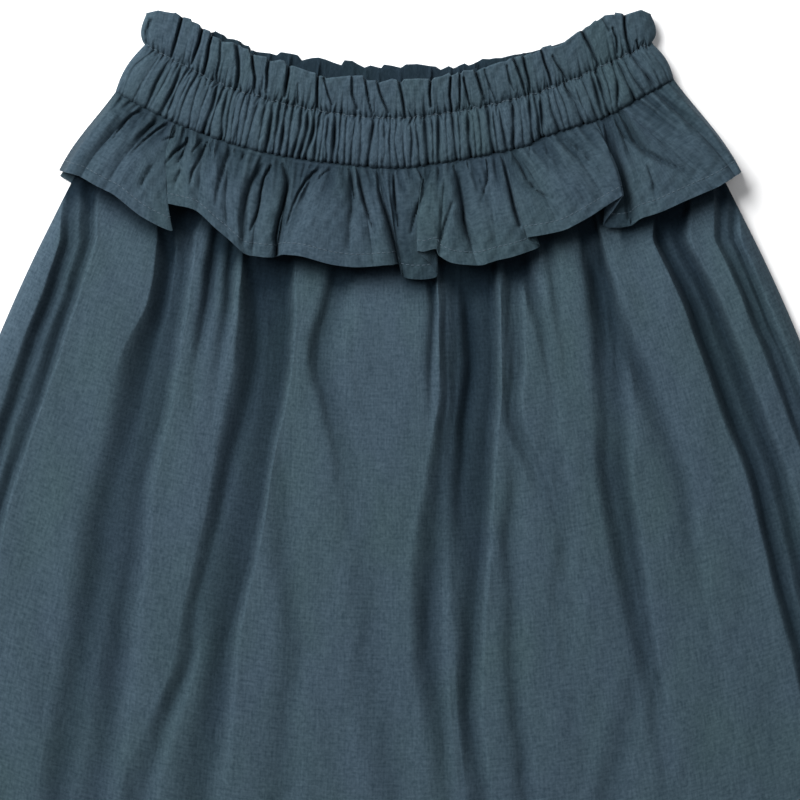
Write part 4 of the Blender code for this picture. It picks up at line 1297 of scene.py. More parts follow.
@dataclass
class Waistband(Layer):
    """A gathered casing round its elastic, with the frilled heading above the stitched line."""

    kind: ClassVar[str] = "waistband"
    gathers: tuple[Gather, ...] = CASING_GATHERS
    furrows: tuple[Furrow, ...] = HEADING_FURROWS
    edge: Profile = FRONT_HEADING
    edge_passes: int = 3
    columns_a_gather: int = 12
    casing_rows: int = 40
    heading_rows: int = 36
    inner_rows: int = 9
    row_crowding: float = 0.06
    strip: tuple[float, float] = (430 * MM, 43 * MM)

    crest: Profile = Profile(
        (0, 0.08, 0.2, 0.5, 0.8, 0.94, 1), (8.3, 9.7, 10.6, 11.0, 10.7, 9.7, 8.5)
    )
    heading_rise: Profile = Profile((0, 0.15, 0.5, 1), (8.2, 9.3, 10.1, 10.8))
    side_height: float = 5.05 * MM
    inner_height: float = 5.2 * MM
    heading_wall: float = 1.1 * MM
    end_round: float = 7 * MM
    end_bulge: float = 2.2 * MM
    end_bulge_power: float = 31
    end_bulge_skew: float = 0.8
    side_bulge: float = 0.015
    side_bulge_power: float = 12
    back_share: float = 0.62
    turned_height: float = 11.2 * MM

    gather_levels: Levels = (0.1, 0.45, 0.9)
    gather_width: float = 2.2 * MM
    gather_core: float = 0.6 * MM
    core_growth: Ramp = Ramp(0.6, 0.6)
    wide_share: float = 0.25
    wide_power: float = 1.5
    depth_power: float = 1.3
    gather_depth: float = 4.2 * MM
    gather_growth: Profile = Profile((0, 0.15, 0.5, 0.85, 1), (0.5, 0.85, 1.0, 0.95, 0.75))
    gather_seed: int = 61
    gather_shift: float = 0.06 * MM
    shift_turns: Range = (8, 16)
    waver: Ramp = Ramp(0.8, 0.3)
    waver_turns: Range = (4, 11)
    heading_gathers: float = 0.5
    heading_fading: float = 2.2
    furrow_share: float = 1.0
    breadth: float = 0.62
    scallop: float = 1.9 * MM
    scallop_power: float = 6

    tuck: float = 1.5 * MM
    tucks: Puckers = Puckers(
        62, (1.4 * MM, 3.0 * MM), (2.5 * MM, 6.0 * MM), (0.35 * MM, 0.6 * MM), (0.5, 1.0), 0.5, 0.0
    )
    fine_depth: float = 1.5 * MM
    heading_puckers: Puckers = Puckers(
        63, (2.2 * MM, 6.5 * MM), (5 * MM, 14 * MM), (0.4 * MM, 0.8 * MM), (0.2, 0.7)
    )
    casing_puckers: Puckers = Puckers(
        64, (1.6 * MM, 5.5 * MM), (5 * MM, 22 * MM), (0.3 * MM, 0.5 * MM), (0.2, 0.65), 0.12
    )
    seam_puckers: Puckers = Puckers(
        65, (1.8 * MM, 6.5 * MM), (4 * MM, 16 * MM), (0.3 * MM, 0.5 * MM), (0.25, 0.75), 0.12
    )
    casing_ripples: tuple[Ripple, ...] = (
        Ripple(5, 0.09 * MM, 4.5 * MM, 5 * MM), Ripple(6, 0.16 * MM, 11 * MM, 12 * MM),
    )
    heading_ripple: Ripple = Ripple(8, 0.25 * MM, 7 * MM, 9 * MM)

    wander: Ripple = Ripple(9, 0.45 * MM, 6 * MM, 50 * MM)
    groove: float = 0.35 * MM
    groove_width: float = 0.6 * MM
    groove_pull: Ramp = Ramp(0.4, 0.6)
    seam_groove: float = 0.6 * MM
    seam_width: float = 0.035
    # How much painted shade lies in the seam's groove
    seam_groove_shade: Ramp = Ramp(0.5, 0.5)

    # Painted shade: in gathers, puckers, grooves and the seam, plus a flat amount of painted shade
    # over the casing
    hollow_share: float = 0.71
    darkest_fold: float = 4 * MM
    groove_shade: float = 0.3
    base_painted_shade: float = 0.05
    inside_shade: float = 0.0

    def gather_places(self, share: Grid) -> Grid:
        """Place the valleys between gathers at each share of the casing's depth."""
        lines = (Profile(self.gather_levels, (g.top, g.middle, g.seam)) for g in self.gathers)
        return np.stack([smooth(line, share) for line in lines], axis=1)

    def gathered(self, across: Grid, share: Grid) -> Grid:
        """Work out how deep in a valley between gathers each point lies.

        Args:
            across: Places across the casing, one row of them for each share.
            share: Shares of the casing's depth, one for each row.

        Returns:
            0 on the ridges to 1 in the deepest valley.
        """
        valleys = self.gather_places(share)
        dice = np.random.default_rng(self.gather_seed)
        level = np.ones_like(across)
        for k, gather in enumerate(self.gathers):
            waver, shift = (
                np.sin(share * dice.uniform(*turns) + dice.uniform(*PHASES))
                for turns in (self.waver_turns, self.shift_turns)
            )
            place = valleys[:, k] + self.gather_shift * shift / self.curve.half_chord
            distance = np.abs(across - place[:, None]) * self.curve.half_chord
            wide = clamped(1 - distance / self.gather_width) ** self.wide_power
            core = bell(distance / (self.gather_core * self.core_growth.at(gather.depth)))
            depth = gather.depth**self.depth_power * self.waver.at(waver[:, None])
            pull = self.wide_share * wide + (1 - self.wide_share) * core
            level *= 1 - clamped(depth) * pull
        return 1 - level

    def fullness(self, across: Grid) -> Grid:
        """Work out how much of its height the band has kept near its side folds."""
        return rounded((1 - np.abs(across)) * self.curve.half_chord / self.end_round)

    def outer_height(self, height: Grid) -> Grid:
        """Turn a height of the front over for the back, where it presses on the surface."""
        turned = largest(0, (self.turned_height - height) * self.back_share)
        return height if self.front else turned

    def stitched(self, across: Grid) -> Grid:
        """Say how far below the waist curve the stitched line lies, wandering a little."""
        along = across * self.curve.half_chord
        return smooth(STITCHED_DROP, across) * MM + self.wander.at(along, 0 * along)

    def casing(self, across: Grid, share: Grid) -> tuple[Grid, Grid, Grid, Grid]:
        """Shape the outside of the casing.

        Args:
            across: Places across, one row of them for each share.
            share: Shares of the casing's depth, one for each row.

        Returns:
            The x, y and z of each point, and how much painted shade it gets.
        """
        top, seam = self.stitched(across), smooth(SEAM_DROP, across) * MM
        drop = top + (seam - top) * share[:, None]
        bulge = np.sin(np.pi * share)[:, None] * across**self.side_bulge_power
        x, y = self.curve.place(across * (1 + self.side_bulge * bulge), drop)
        valleys = self.gathered(across, share)
        depth = self.gather_depth * smooth(self.gather_growth, share)[:, None]
        height = row_heights(self.crest, share) - depth * valleys
        for ripple in self.casing_ripples:
            height = height + ripple.at(x, y)
        tucks = self.puckered(self.tucks, across, drop - top)
        fine = largest(
            self.puckered(self.casing_puckers, across, drop - top),
            self.puckered(self.seam_puckers, across, seam - drop),
        )
        deep = largest(valleys, fine)
        groove = bell((drop - top) / self.groove_width) * self.groove_pull.at(deep)
        edge = bell((1 - share[:, None]) / self.seam_width)
        height = height - self.fine_depth * fine - self.tuck * tucks
        height = height - self.groove * groove - self.seam_groove * edge
        y = y + self.scallop * valleys * share[:, None] ** self.scallop_power
        # Painted shade: darker in gathers, puckers, the stitched groove and the seam, over a flat
        # base
        painted_shade = largest(
            self.hollow_share * valleys, tucks, fine, edge * self.seam_groove_shade.at(deep),
            self.groove_shade * groove,
        )
        return x, y, height, clamped(painted_shade + self.base_painted_shade)

    def heading(self, across: Grid, rise: Grid) -> tuple[Grid, Grid, Grid, Grid]:
        """Shape the outside of the heading.

        Args:
            across: Places across at the stitched line, one row of them for each share.
            rise: Shares of the heading's height, one for each row.

        Returns:
            The x, y and z of each point, and how much painted shade it gets.
        """
        foot = self.stitched(across)
        tall = np.interp(across, *self.edge) * MM
        for _ in range(self.edge_passes):
            tip = self.curve.across_of(*self.curve.place(across, -tall))
            tall = np.interp(tip, *self.edge) * MM
        drop = foot * (1 - rise[:, None]) - tall * rise[:, None]
        x, y = self.curve.place(across, drop)
        bulge = np.sin(np.pi * rise[:, None] ** self.end_bulge_skew)
        x = x + self.end_bulge * across**self.end_bulge_power * bulge
        front_y = y + self.curve.dip - self.curve.front_dip
        folds = self.furrow_share * pressed(
            self.furrows, x, front_y, self.curve.origin_drop, self.breadth
        )
        fading = (1 - rise[:, None]) ** self.heading_fading
        casing = self.gathered(across, np.zeros(len(rise)))
        height = row_heights(self.heading_rise, rise) - folds
        height = height - self.heading_gathers * self.gather_depth * casing * fading
        height = height + self.heading_ripple.at(x, y) * rise[:, None]
        tucks = self.puckered(self.tucks, across, foot - drop)
        fine = self.puckered(self.heading_puckers, across, foot - drop)
        groove = bell((drop - foot) / self.groove_width)
        groove = groove * self.groove_pull.at(largest(casing, fine))
        height = height - self.fine_depth * fine - self.tuck * tucks - self.groove * groove
        depth = largest(casing * fading, fine, folds / self.darkest_fold)
        # Painted shade in the folds, tucks and stitched groove
        painted_shade = largest(self.hollow_share * depth, tucks, self.groove_shade * groove)
        return x, y, height, clamped(painted_shade)

    def sheet(self) -> tuple[Sheet, int]:
        """Fold the strip over: heading, casing, then back up the inside.

        Returns:
            The sheet, and the row of it that the stitched line runs along.
        """
        rise = np.linspace(1, 0, self.heading_rows)
        share = np.linspace(0, 1, self.casing_rows + 1)[1:]
        share = share - self.row_crowding * np.sin(2 * np.pi * share)
        counts = [self.columns_a_gather] * (len(self.gathers) + 1)
        anchors = (
            np.pad(self.gather_places(at), ((0, 0), (1, 1)), constant_values=(-1, 1))
            for at in (np.zeros(1), share)
        )
        headed, across = (spaced(places, counts) for places in anchors)
        headed = np.repeat(headed, self.heading_rows, axis=0)
        outside = zip(self.heading(headed, rise), self.casing(across, share))
        x, y, z, painted_shade = (np.vstack(parts) for parts in outside)
        place = np.vstack([headed, across])
        outer = self.outer_height(z)

        fold, last = len(rise), len(place) - 1
        down = np.linspace(0, 1, self.inner_rows)
        wanted = np.concatenate([last + (fold - 1 - last) * down, (fold - 1) * (1 - down[1:])])
        wanted = np.rint(wanted).astype(int)
        wall = self.heading_wall if self.front else -self.heading_wall
        inner = np.where(wanted[:, None] >= fold, self.inner_height, outer[wanted] - wall)
        full = self.fullness(place)
        outer = self.side_height + (outer - self.side_height) * full
        inner = self.side_height + (inner - self.side_height) * full[wanted]
        tip = np.stack(
            [x[:1], y[:1] + self.heading_wall / 2, (outer[:1] + inner[-1:]) / 2], axis=2
        )
        outside = np.stack([x, y, outer], axis=2)
        inside = np.stack([x[wanted], y[wanted], inner], axis=2)
        points = np.concatenate([tip, outside, inside, tip])
        spread = np.vstack([place[:1], place, place[wanted], place[:1]])
        cloth = np.stack([spread * self.strip[0] / 2, run_along(points)], axis=2)
        # Painted shadow: the inside gets at least inside_shade, so the back band reads as lying in
        # the shadow of the front
        shaded = largest(painted_shade[wanted], self.inside_shade)
        painted_shade = np.vstack([painted_shade[:1], painted_shade, shaded, painted_shade[:1]])
        sheet = Sheet(
            f"{self.name}_strip", self.name, self.facing, points, cloth, painted_shade, self.strip,
            Held.GATHERED, ring=True,
        )
        return sheet, fold


@dataclass
class Ruffle(Layer):
    """A strip gathered into the waist seam."""

    kind: ClassVar[str] = "ruffle"
    strip: tuple[float, float] = (510 * MM, RUFFLE_DEPTH)
    depth: float = RUFFLE_DEPTH
    hem: float = 6 * MM
    end_span: float = 0.97
    hollow_share: float = 0.71
    cloth_shift: float = 0.2

    def turned(self, height: Grid, across: Grid, edge: Grid, power: float = 1) -> Grid:
        """Turn the ends of the ruffle towards the side seams.

        Args:
            height: The points' heights.
            across: Places across the waist seam.
            edge: The height of the ends in each row.
            power: How late the cloth turns.

        Returns:
            The points' new heights.
        """
        turn = clamped((np.abs(across) - self.end_span) / (1 - self.end_span)) ** power
        return height + (edge - height) * turn

    def shape(self) -> tuple[Grid, Grid]:
        """Shape the strip: its rows of points, and how much painted shade each point gets."""
        raise NotImplementedError

    def sheet(self) -> tuple[Sheet, int]:
        """Shape the strip and lay the cloth's threads along it.

        Returns:
            The sheet, and the row of it that the hem's stitches run along.
        """
        points, painted_shade = self.shape()
        spread = run_along(points[-1])
        spread = np.broadcast_to(spread - spread[-1] / 2, points.shape[:2])
        cloth = np.stack([spread, run_along(points) + self.cloth_shift], axis=2)
        sheet = Sheet(
            f"{self.name}_strip", self.name, self.facing, points, cloth, painted_shade, self.strip,
            Held.GATHERED,
        )
        return sheet, round((len(points) - 1) * (1 - self.hem / self.depth))


@dataclass
class FrontRuffle(Ruffle):
    """The front ruffle, which fans out into flounces.

    Reaches and starts are shares of its depth.
    """

    flounces: tuple[Flounce, ...] = FRONT_FLOUNCES
    furrows: tuple[Furrow, ...] = RUFFLE_FURROWS
    gathers: tuple[Gather, ...] = CASING_GATHERS
    flounce_levels: Levels = (0, 0.25, 0.6, 1)
    columns_a_flounce: int = 9
    crowding: float = 0.4
    rows: int = 64
    overlap: float = 0.5 * MM
    ease: float = 0.10

    floor: Profile = Profile((0, 4, 12, 25, 48), (8.1, 10.2, 12.0, 13.0, 13.2))
    lowest: Profile = Profile((0, 12, 25, 48), (7.3, 8.3, 9.6, 11.2))
    end_height: Ramp = Ramp(5.6 * MM, 2.2 * MM - 5.6 * MM)
    end_power: float = 1.5
    puff: float = 1.2 * MM
    puff_start: float = 0.12
    puff_reach: float = 0.5
    puff_power: float = 1.3
    gather_depth: float = 3.4 * MM
    gather_width: float = 2.8 * MM
    gather_reach: float = 0.55
    gather_power: float = 1.4
    reach_power: float = 1.2
    puckers: Puckers = Puckers(
        23, (1.4 * MM, 4.6 * MM), (7 * MM, 30 * MM), (0.4 * MM, 0.75 * MM), (0.3, 0.9), 0.2, 1.6
    )
    ripple: Ripple = Ripple(21, 0.22 * MM, 9 * MM, 14 * MM)
    creasing: Ripple = Ripple(22, 0.18 * MM, 3.6 * MM, 30 * MM)
    creasing_start: float = 0.08
    creasing_reach: float = 0.85
    breadth: float = 0.72
    hem_step: float = 0.3 * MM
    hem_sharpness: float = 60

    # Painted shade: in sunken flounces, gathers, creases, folds and along the seam, over a flat
    # base
    ridge: Profile = Profile((0, 0.25, 0.6, 1), (1.0, 1.8, 3.6, 4.2))
    valley_shade: Ramp = Ramp(0.35, 0.45)
    gather_shade: float = 1.5
    base_painted_shade: float = 0.26
    crease_shade: float = 0.7
    most_crease_shade: float = 0.3
    darkest_fold: float = 3.6 * MM
    seam_shade: Ramp = Ramp(0.3, 0.6)
    seam_reach: float = 0.03

    def line(self, column: str, across: Grid) -> Grid:
        """Read one column of the table of flounces, in metres."""
        values = tuple(getattr(flounce, column) for flounce in self.flounces)
        return smooth(Profile(tuple(f.seam for f in self.flounces), values), across) * MM

    def lift(self, across: Grid, down: Grid) -> Grid:
        """Work out how high the flounces stand over the lowest cloth.

        Args:
            across: Places across the waist seam.
            down: The share of the ruffle's depth of each row.

        Returns:
            A height for each point of each row.
        """
        known = np.array([f.seam for f in self.flounces])
        table = [(0.0, f.gather, f.middle, f.lift) for f in self.flounces]
        levels = [smooth(Profile(self.flounce_levels, row), down) for row in table]
        return largest(0, sharp(known, np.stack(levels, axis=1), across)) * MM

    def gathered(self, across: Grid, v: Grid) -> Grid:
        """Work out how deep in the seam's gathers and puckers each point lies.

        Args:
            across: Places across the waist seam.
            v: The share of the ruffle's depth of each row, as a column.

        Returns:
            0 on smooth cloth to 1 in the deepest gather.
        """
        level = np.ones(np.broadcast(across, v).shape)
        for gather in self.gathers:
            distance = np.abs(across - gather.seam) * self.curve.half_chord / self.gather_width
            level *= 1 - gather.depth * clamped(1 - distance) ** self.gather_power
        fading = clamped(1 - v / self.gather_reach) ** self.reach_power
        level = 1 - (1 - level) * fading
        return 1 - level * (1 - self.puckered(self.puckers, across, v * self.depth))

    def shape(self) -> tuple[Grid, Grid]:
        """Shape the ruffle along its table of lines.

        Returns:
            Its rows of points, and how much painted shade each point gets.
        """
        counts = [self.columns_a_flounce] * (len(self.flounces) - 1)
        across = spaced(np.array([[f.seam for f in self.flounces]]), counts, self.crowding)[0]
        down = np.linspace(0, 1, self.rows + 1)
        v = down[:, None]
        top_x, top_y = self.curve.place(across, smooth(SEAM_DROP, across) * MM - self.overlap)
        hem_x = self.line("hem_right", across)
        hem_y = self.curve.origin_drop - self.line("hem_drop", across)
        x = top_x + (hem_x - top_x) * (v + self.ease * np.sin(np.pi * v) * v)
        x = x + self.line("bow", across) * 4 * v * (1 - v)
        y = top_y + (hem_y - top_y) * v

        lift, gathered = self.lift(across, down), self.gathered(across, v)
        drop = down * self.depth / MM
        height = row_heights(self.floor, drop) + lift
        fading = clamped(1 - v / self.puff_reach) ** self.puff_power
        height = height + self.puff * clamped(v / self.puff_start) * fading
        height = height - self.gather_depth * gathered
        height = height + self.ripple.at(x, y)
        creased = self.creasing.at(across * self.curve.half_chord, v * self.depth)
        fading = clamped(1 - v / self.creasing_reach) * clamped(v / self.creasing_start)
        folds = pressed(self.furrows, x, y, self.curve.origin_drop, self.breadth)
        height = largest(height + creased * fading - folds, row_heights(self.lowest, drop))
        in_hem = clamped((v - (1 - self.hem / self.depth)) * self.hem_sharpness)
        height = height + self.hem_step * in_hem
        height = self.turned(height, across, self.end_height.at(v), self.end_power)

        # Painted shade, darker where the flounces sink and in gathers, creases and folds, over a
        # flat base
        painted_shade = clamped(1 - lift / row_heights(self.ridge, down)) * self.valley_shade.at(v)
        painted_shade = largest(painted_shade, self.gather_shade * gathered) + self.base_painted_shade
        shade = np.clip(-self.crease_shade * creased / MM, 0, self.most_crease_shade)
        painted_shade = largest(clamped(painted_shade + shade), clamped(folds / self.darkest_fold))
        seam = self.seam_shade.at(gathered) * bell(v / self.seam_reach)
        return np.stack([x, y, height], axis=2), largest(self.hollow_share * painted_shade, seam)


@dataclass
class BackRuffle(Ruffle):
    """The back ruffle, pressed flat under the skirt in seeded folds."""

    strip: tuple[float, float] = (420 * MM, RUFFLE_DEPTH)
    rows: int = 29
    columns: int = 321
    side_depth: float = 39 * MM
    flare: float = 28.4 * MM
    seed: int = 31
    folds: int = 19
    fold_span: float = 0.95
    fold_shift: float = 0.025
    fold_depths: Range = (0.5, 1.0)
    fold_lean: float = 0.02
    fold_width: float = 0.035
    sway: float = 2.0 * MM
    sway_turns: float = 23
    hem_wave: float = 1.5 * MM
    end_fading: float = 0.05
    rise: Ramp = Ramp(0.5 * MM, 1.6 * MM)
    rise_start: float = 0.3
    ripple: Ripple = Ripple(33, 0.1 * MM, 8 * MM, 15 * MM)
    end_height: Ramp = Ramp(3.4 * MM, -3.0 * MM)
    seam_lift: float = 2.2 * MM
    seam_reach: float = 0.2
    highest: float = 3.9 * MM

    def shape(self) -> tuple[Grid, Grid]:
        """Shape the ruffle between its seeded folds.

        Returns:
            Its rows of points, and how much painted shade each point gets.
        """
        dice = np.random.default_rng(self.seed)
        middles = np.linspace(-self.fold_span, self.fold_span, self.folds)
        middles = middles + dice.uniform(-self.fold_shift, self.fold_shift, self.folds)
        depths = dice.uniform(*self.fold_depths, self.folds)
        leans = dice.uniform(-self.fold_lean, self.fold_lean, self.folds)
        across = np.linspace(-1, 1, self.columns)
        v = np.linspace(0, 1, self.rows)[:, None]
        sink = largest(*(
            depth * bell((across - middle - lean * v) / self.fold_width)
            for middle, depth, lean in zip(middles, depths, leans)
        ))
        inside = clamped((1 - np.abs(across)) / self.end_fading)
        x, y = self.curve.place(across, smooth(SEAM_DROP, across) * MM)
        length = self.depth - across**2 * (self.depth - self.side_depth)
        sway = self.sway * np.sin(self.sway_turns * across) * inside
        x = x + (across * self.flare + sway) * v
        y = y - (length + self.hem_wave * (1 - 2 * sink) * inside) * v
        height = self.rise.at(sink * inside * clamped(v / self.rise_start))
        height = height + self.ripple.at(x, y) * inside
        height = self.turned(height, across, self.end_height.at(v))
        height = height + self.seam_lift * clamped(1 - v / self.seam_reach) ** 2
        points = np.stack([x, y, np.clip(height, 0, self.highest)], axis=2)
        # Painted shade in its folds
        return points, self.hollow_share * sink


@dataclass
class SkirtPanel(Layer):
    """One of the two rectangles of the skirt, gathered at the waist and wide at the hem."""

    kind: ClassVar[str] = "skirt"
    valleys: tuple[Valley, ...]
    creases: tuple[Crease, ...]
    columns: int
    rows: int
    least_columns: int = 4
    row_crowding: float = 0.012
    flat: tuple[float, float] = (580 * MM, 357 * MM)
    cloth_half: float = 260 * MM
    cloth_shift: float = 0.5

    length: float = 357 * MM
    flare: float = 120 * MM
    straight: float = 0.6
    flare_power: float = 2.6
    side_lift: float = 22 * MM
    side_roll: float = 13 * MM
    seam_span: float = 0.972
    seam_drop: float = 25.8 * MM
    hem: float = 20 * MM
    hem_step: float = 0.25 * MM

    line_passes: int = 10
    wander: tuple[tuple[float, float], ...] = (
        (0.1, 0.27), (0.18, 0.15), (0.3, 0.09), (0.4, 0.05),
    )
    wander_phase: float = 9
    least_gap: float = 0.005
    crispness: Profile = Profile((0, 60, 110, 160), (1.3, 1.2, 0.5, 0.0))
    foot_crispness: float = 0.3
    most_sunk: float = 0.97
    crease_power: float = 2.2

    crest: Profile = Profile(
        (0, 25, 48, 58, 78, 100, 200, 357), (6.6, 8.6, 9.8, 10.8, 13.0, 13.4, 12.8, 10.0)
    )
    floor: Profile = Profile((0, 45, 70, 357), (5.5, 5.5, 2.4, 2.2))
    edge: Profile = Profile((0, 45, 70, 357), (5.2, 5.2, 1.3, 1.1))
    ripples: tuple[Ripple, ...] = (
        Ripple(41, 0.45 * MM, 46 * MM, 170 * MM), Ripple(42, 0.16 * MM, 14 * MM, 60 * MM),
    )
    upper_ripple: Ripple = Ripple(43, 0.16 * MM, 5 * MM, 45 * MM)
    upper_reach: float = 190 * MM
    back_base: Profile = Profile((0, 50, 64), (2.9, 2.9, 0.35))
    back_rise: float = 1.6 * MM
    back_start: float = 40 * MM
    back_ripple: Ripple = Ripple(51, 0.1 * MM, 30 * MM, 90 * MM)

    # Painted shade: darker in valleys and creases, a painted shadow below the ruffle's hem, and on
    # the back over its folds
    hollow_share: float = 0.78
    hollow_depth: float = 3 * MM
    hollow_power: float = 1.5
    deep_shade: float = 0.23
    deep_start: float = 5 * MM
    deep_span: float = 5.5 * MM
    flounces: tuple[Flounce, ...] = FRONT_FLOUNCES
    overhang: float = 9 * MM
    overhang_shade: float = 0.95
    overhang_gain: Ramp = Ramp(1, 0.4)
    back_shade: float = 0.4

    def place(self, across: Grid, drop: Grid) -> tuple[Grid, Grid]:
        """Find points of the panel.

        Args:
            across: Places across it.
            drop: How far below the waist seam they are.

        Returns:
            Their x and y.
        """
        t = drop / self.length
        span = self.seam_span + (1 - self.seam_span) * np.minimum(1, t)
        x, y = self.curve.place(across * span, np.full_like(across * t, self.seam_drop))
        curved = 1 - clamped(1 - t) ** self.flare_power
        shape = self.straight * t + (1 - self.straight) * curved
        raised = smooth(SEAM_DROP, across * span) * MM - self.seam_drop
        y = y - raised * clamped(1 - drop / RUFFLE_DEPTH) ** 2
        return (
            x + across * self.flare * shape,
            y - drop + across**2 * self.side_lift * (1 - (1 - t) ** 2),
        )

    def half_width(self, drop: Grid) -> Grid:
        """Find half the panel's width in each row."""
        return self.place(np.ones_like(drop), drop)[0]

    def line(self, places: Levels, phase: float, drop: Grid) -> Grid:
        """Find where a line down the panel crosses each row.

        Args:
            places: The line's places at the crease levels, in millimetres.
            phase: Where in its turns the slight wander of the line starts.
            drop: The drop of each row. Under the ruffle the line runs straight up.

        Returns:
            The place across in each row.
        """
        held = largest(drop, RUFFLE_DEPTH)
        half = self.half_width(held)
        across = places[0] * MM / half[0] * np.ones_like(held)
        for _ in range(self.line_passes):
            x, y = self.place(across, held)
            level = (self.curve.origin_drop - y) / MM
            wanted = smooth(Profile(CREASE_LEVELS, places), level) + sum(
                size * np.sin((level + phase * self.wander_phase) * turn)
                for size, turn in self.wander
            )
            across = across + (wanted * MM - x) / half
        return across

    def depth(self, depths: Levels, across: Grid, drop: Grid) -> Grid:
        """Find how deep a line of the panel is in each row.

        Args:
            depths: The line's depths at the crease levels, in millimetres.
            across: The line's place across in each row.
            drop: The drop of each row.

        Returns:
            The depth in each row, in metres.
        """
        level = (self.curve.origin_drop - self.place(across, drop)[1]) / MM
        grown = clamped(drop / RUFFLE_DEPTH)
        return smooth(Profile(CREASE_LEVELS, depths), level) * MM * grown

    def anchors(self, drop: Grid) -> Grid:
        """Place the lines that the columns follow: side seams, valley lines and creases.

        Args:
            drop: The drop of each row.

        Returns:
            Places across in each row, from -1 to 1, none too close to the next.
        """
        lines = [(crease.places, crease.places[0]) for crease in self.creases]
        lines += [(line, valley.left_edge[0]) for valley in self.valleys for line in valley.lines]
        found = np.stack([self.line(*line, drop) for line in lines], axis=1)
        found = found[:, np.argsort(found.mean(axis=0))]
        ends = np.ones((len(drop), 1))
        found = np.hstack([-ends, found, ends])
        last = found.shape[1] - 1
        for k in range(1, last):
            found[:, k] = np.maximum(found[:, k], found[:, k - 1] + self.least_gap)
        for k in range(last - 1, 0, -1):
            found[:, k] = np.minimum(found[:, k], found[:, k + 1] - self.least_gap)
        return found

    def band(self, valley: Valley, across: Grid, drop: Grid) -> Grid:
        """Shape one valley from edge to edge.

        Args:
            valley: The valley.
            across: Places across, a row for each drop.
            drop: The drop of each row.

        Returns:
            How far the cloth has sunk in it, nothing outside it.
        """
        places = [self.line(line, valley.left_edge[0], drop) for line in valley.lines]
        level = np.zeros_like(drop)
        inner = (self.depth(d, place, drop) for d, place in zip(valley.depths, places[1:]))
        depths = [level, *inner, level]
        sunk = np.zeros_like(across)
        crispness = smooth(self.crispness, drop / MM)[:, None]
        ends = list(zip(places, depths))
        for k, (start, end) in enumerate(zip(ends, ends[1:])):
            (left, high), (right, low) = ([v[:, None] for v in pair] for pair in (start, end))
            t = (across - left) / np.maximum(right - left, LEAST_WIDTH)
            slope = crispness * (low - high)
            leaving = slope if k == 0 else 0.0
            coming = self.foot_crispness * slope if k == len(ends) - 2 else 0.0
            sunk = np.where((t >= 0) & (t < 1), cubic(t, high, low, leaving, coming), sunk)
        return sunk

    def sunk(self, across: Grid, drop: Grid, most: Grid) -> Grid:
        """Add up valleys and creases, none deeper together than the cloth can sink.

        Args:
            across: Places across, a row for each drop.
            drop: The drop of each row.
            most: The deepest that the cloth can sink in each row.

        Returns:
            How far each point has sunk.
        """
        half = self.half_width(drop)[:, None]
        left_up = np.ones_like(across)
        ridges = np.zeros_like(across)
        for valley in self.valleys:
            left_up *= 1 - np.minimum(self.most_sunk, self.band(valley, across, drop) / most)
        for crease in self.creases:
            place = self.line(crease.places, crease.places[0], drop)
            depth = self.depth(crease.depths, place, drop)[:, None]
            distance = (across - place[:, None]) * half / MM
            width = np.where(distance < 0, *crease.widths)
            share = bell(np.abs(distance) / width, self.crease_power)
            left_up *= 1 - np.clip(depth / most, 0, self.most_sunk) * share
            ridges += np.minimum(0, depth) * share
        return largest(0, most * (1 - left_up) + ridges)

    def rolled(self, across: Grid, drop: Grid) -> Grid:
        """Work out how far the panel has risen from its side seams: 0 at them, 1 inside."""
        return rounded((1 - np.abs(across)) * self.half_width(drop)[:, None] / self.side_roll)

    def under_hem(self, x: Grid, y: Grid) -> Grid:
        """Work out how close below the ruffle's hem points lie.

        Args:
            x: The points' x.
            y: The points' y.

        Returns:
            1 under the hem to 0 well below it.
        """
        right = np.maximum.accumulate([f.hem_right for f in self.flounces])
        drop = np.interp(x / MM, right, [f.hem_drop for f in self.flounces]) * MM
        return bell(largest(0, self.curve.origin_drop - y - drop) / self.overhang)

    def front_height(self, across: Grid, drop: Grid, x: Grid, y: Grid) -> tuple[Grid, Grid]:
        """Shape the front: flat-topped folds parted by creases.

        Args:
            across: Places across, a row for each drop.
            drop: The drop of each row.
            x: The points' x.
            y: The points' y.

        Returns:
            The points' heights, and how much painted shade each gets.
        """
        crest, floor, edge = (
            row_heights(profile, drop / MM) for profile in (self.crest, self.floor, self.edge)
        )
        sunk = self.sunk(across, drop, crest - floor)
        height = crest - sunk
        for ripple in self.ripples:
            height = height + ripple.at(x, y)
        upper = clamped(1 - drop / self.upper_reach)[:, None]
        height = height + self.upper_ripple.at(x, y) * upper
        in_hem = clamped((drop[:, None] - (self.length - self.hem)) / MM)
        height = edge + (height - edge) * self.rolled(across, drop) + self.hem_step * in_hem
        # Painted shade, darker the deeper the cloth has sunk
        painted_shade = self.hollow_share * (1 - bell(sunk / self.hollow_depth, self.hollow_power))
        painted_shade = painted_shade + self.deep_shade * clamped((sunk - self.deep_start) / self.deep_span)
        # Painted shadow of the ruffle on the cloth just below its hem
        near = self.under_hem(x, y)
        painted_shade = painted_shade * self.overhang_gain.at(near) + self.overhang_shade * near
        return height, clamped(painted_shade)

    def back_height(self, across: Grid, drop: Grid, x: Grid, y: Grid) -> tuple[Grid, Grid]:
        """Shape the back: cloth flat on the surface between low folds that rise from it.

        Args:
            across: Places across, a row for each drop.
            drop: The drop of each row.
            x: The points' x.
            y: The points' y.

        Returns:
            The heights of its underside, and how much painted shade each point gets.
        """
        below = clamped((drop - RUFFLE_DEPTH) / self.back_start)[:, None]
        rise = self.sunk(across, drop, np.full((len(drop), 1), self.back_rise))
        rise = rise * below * self.rolled(across, drop)
        ripple = largest(0, self.back_ripple.at(x, y)) * below
        height = row_heights(self.back_base, drop / MM) + rise + ripple
        # Painted shade over the folds that rise from the surface
        return height, self.back_shade * rise / self.back_rise

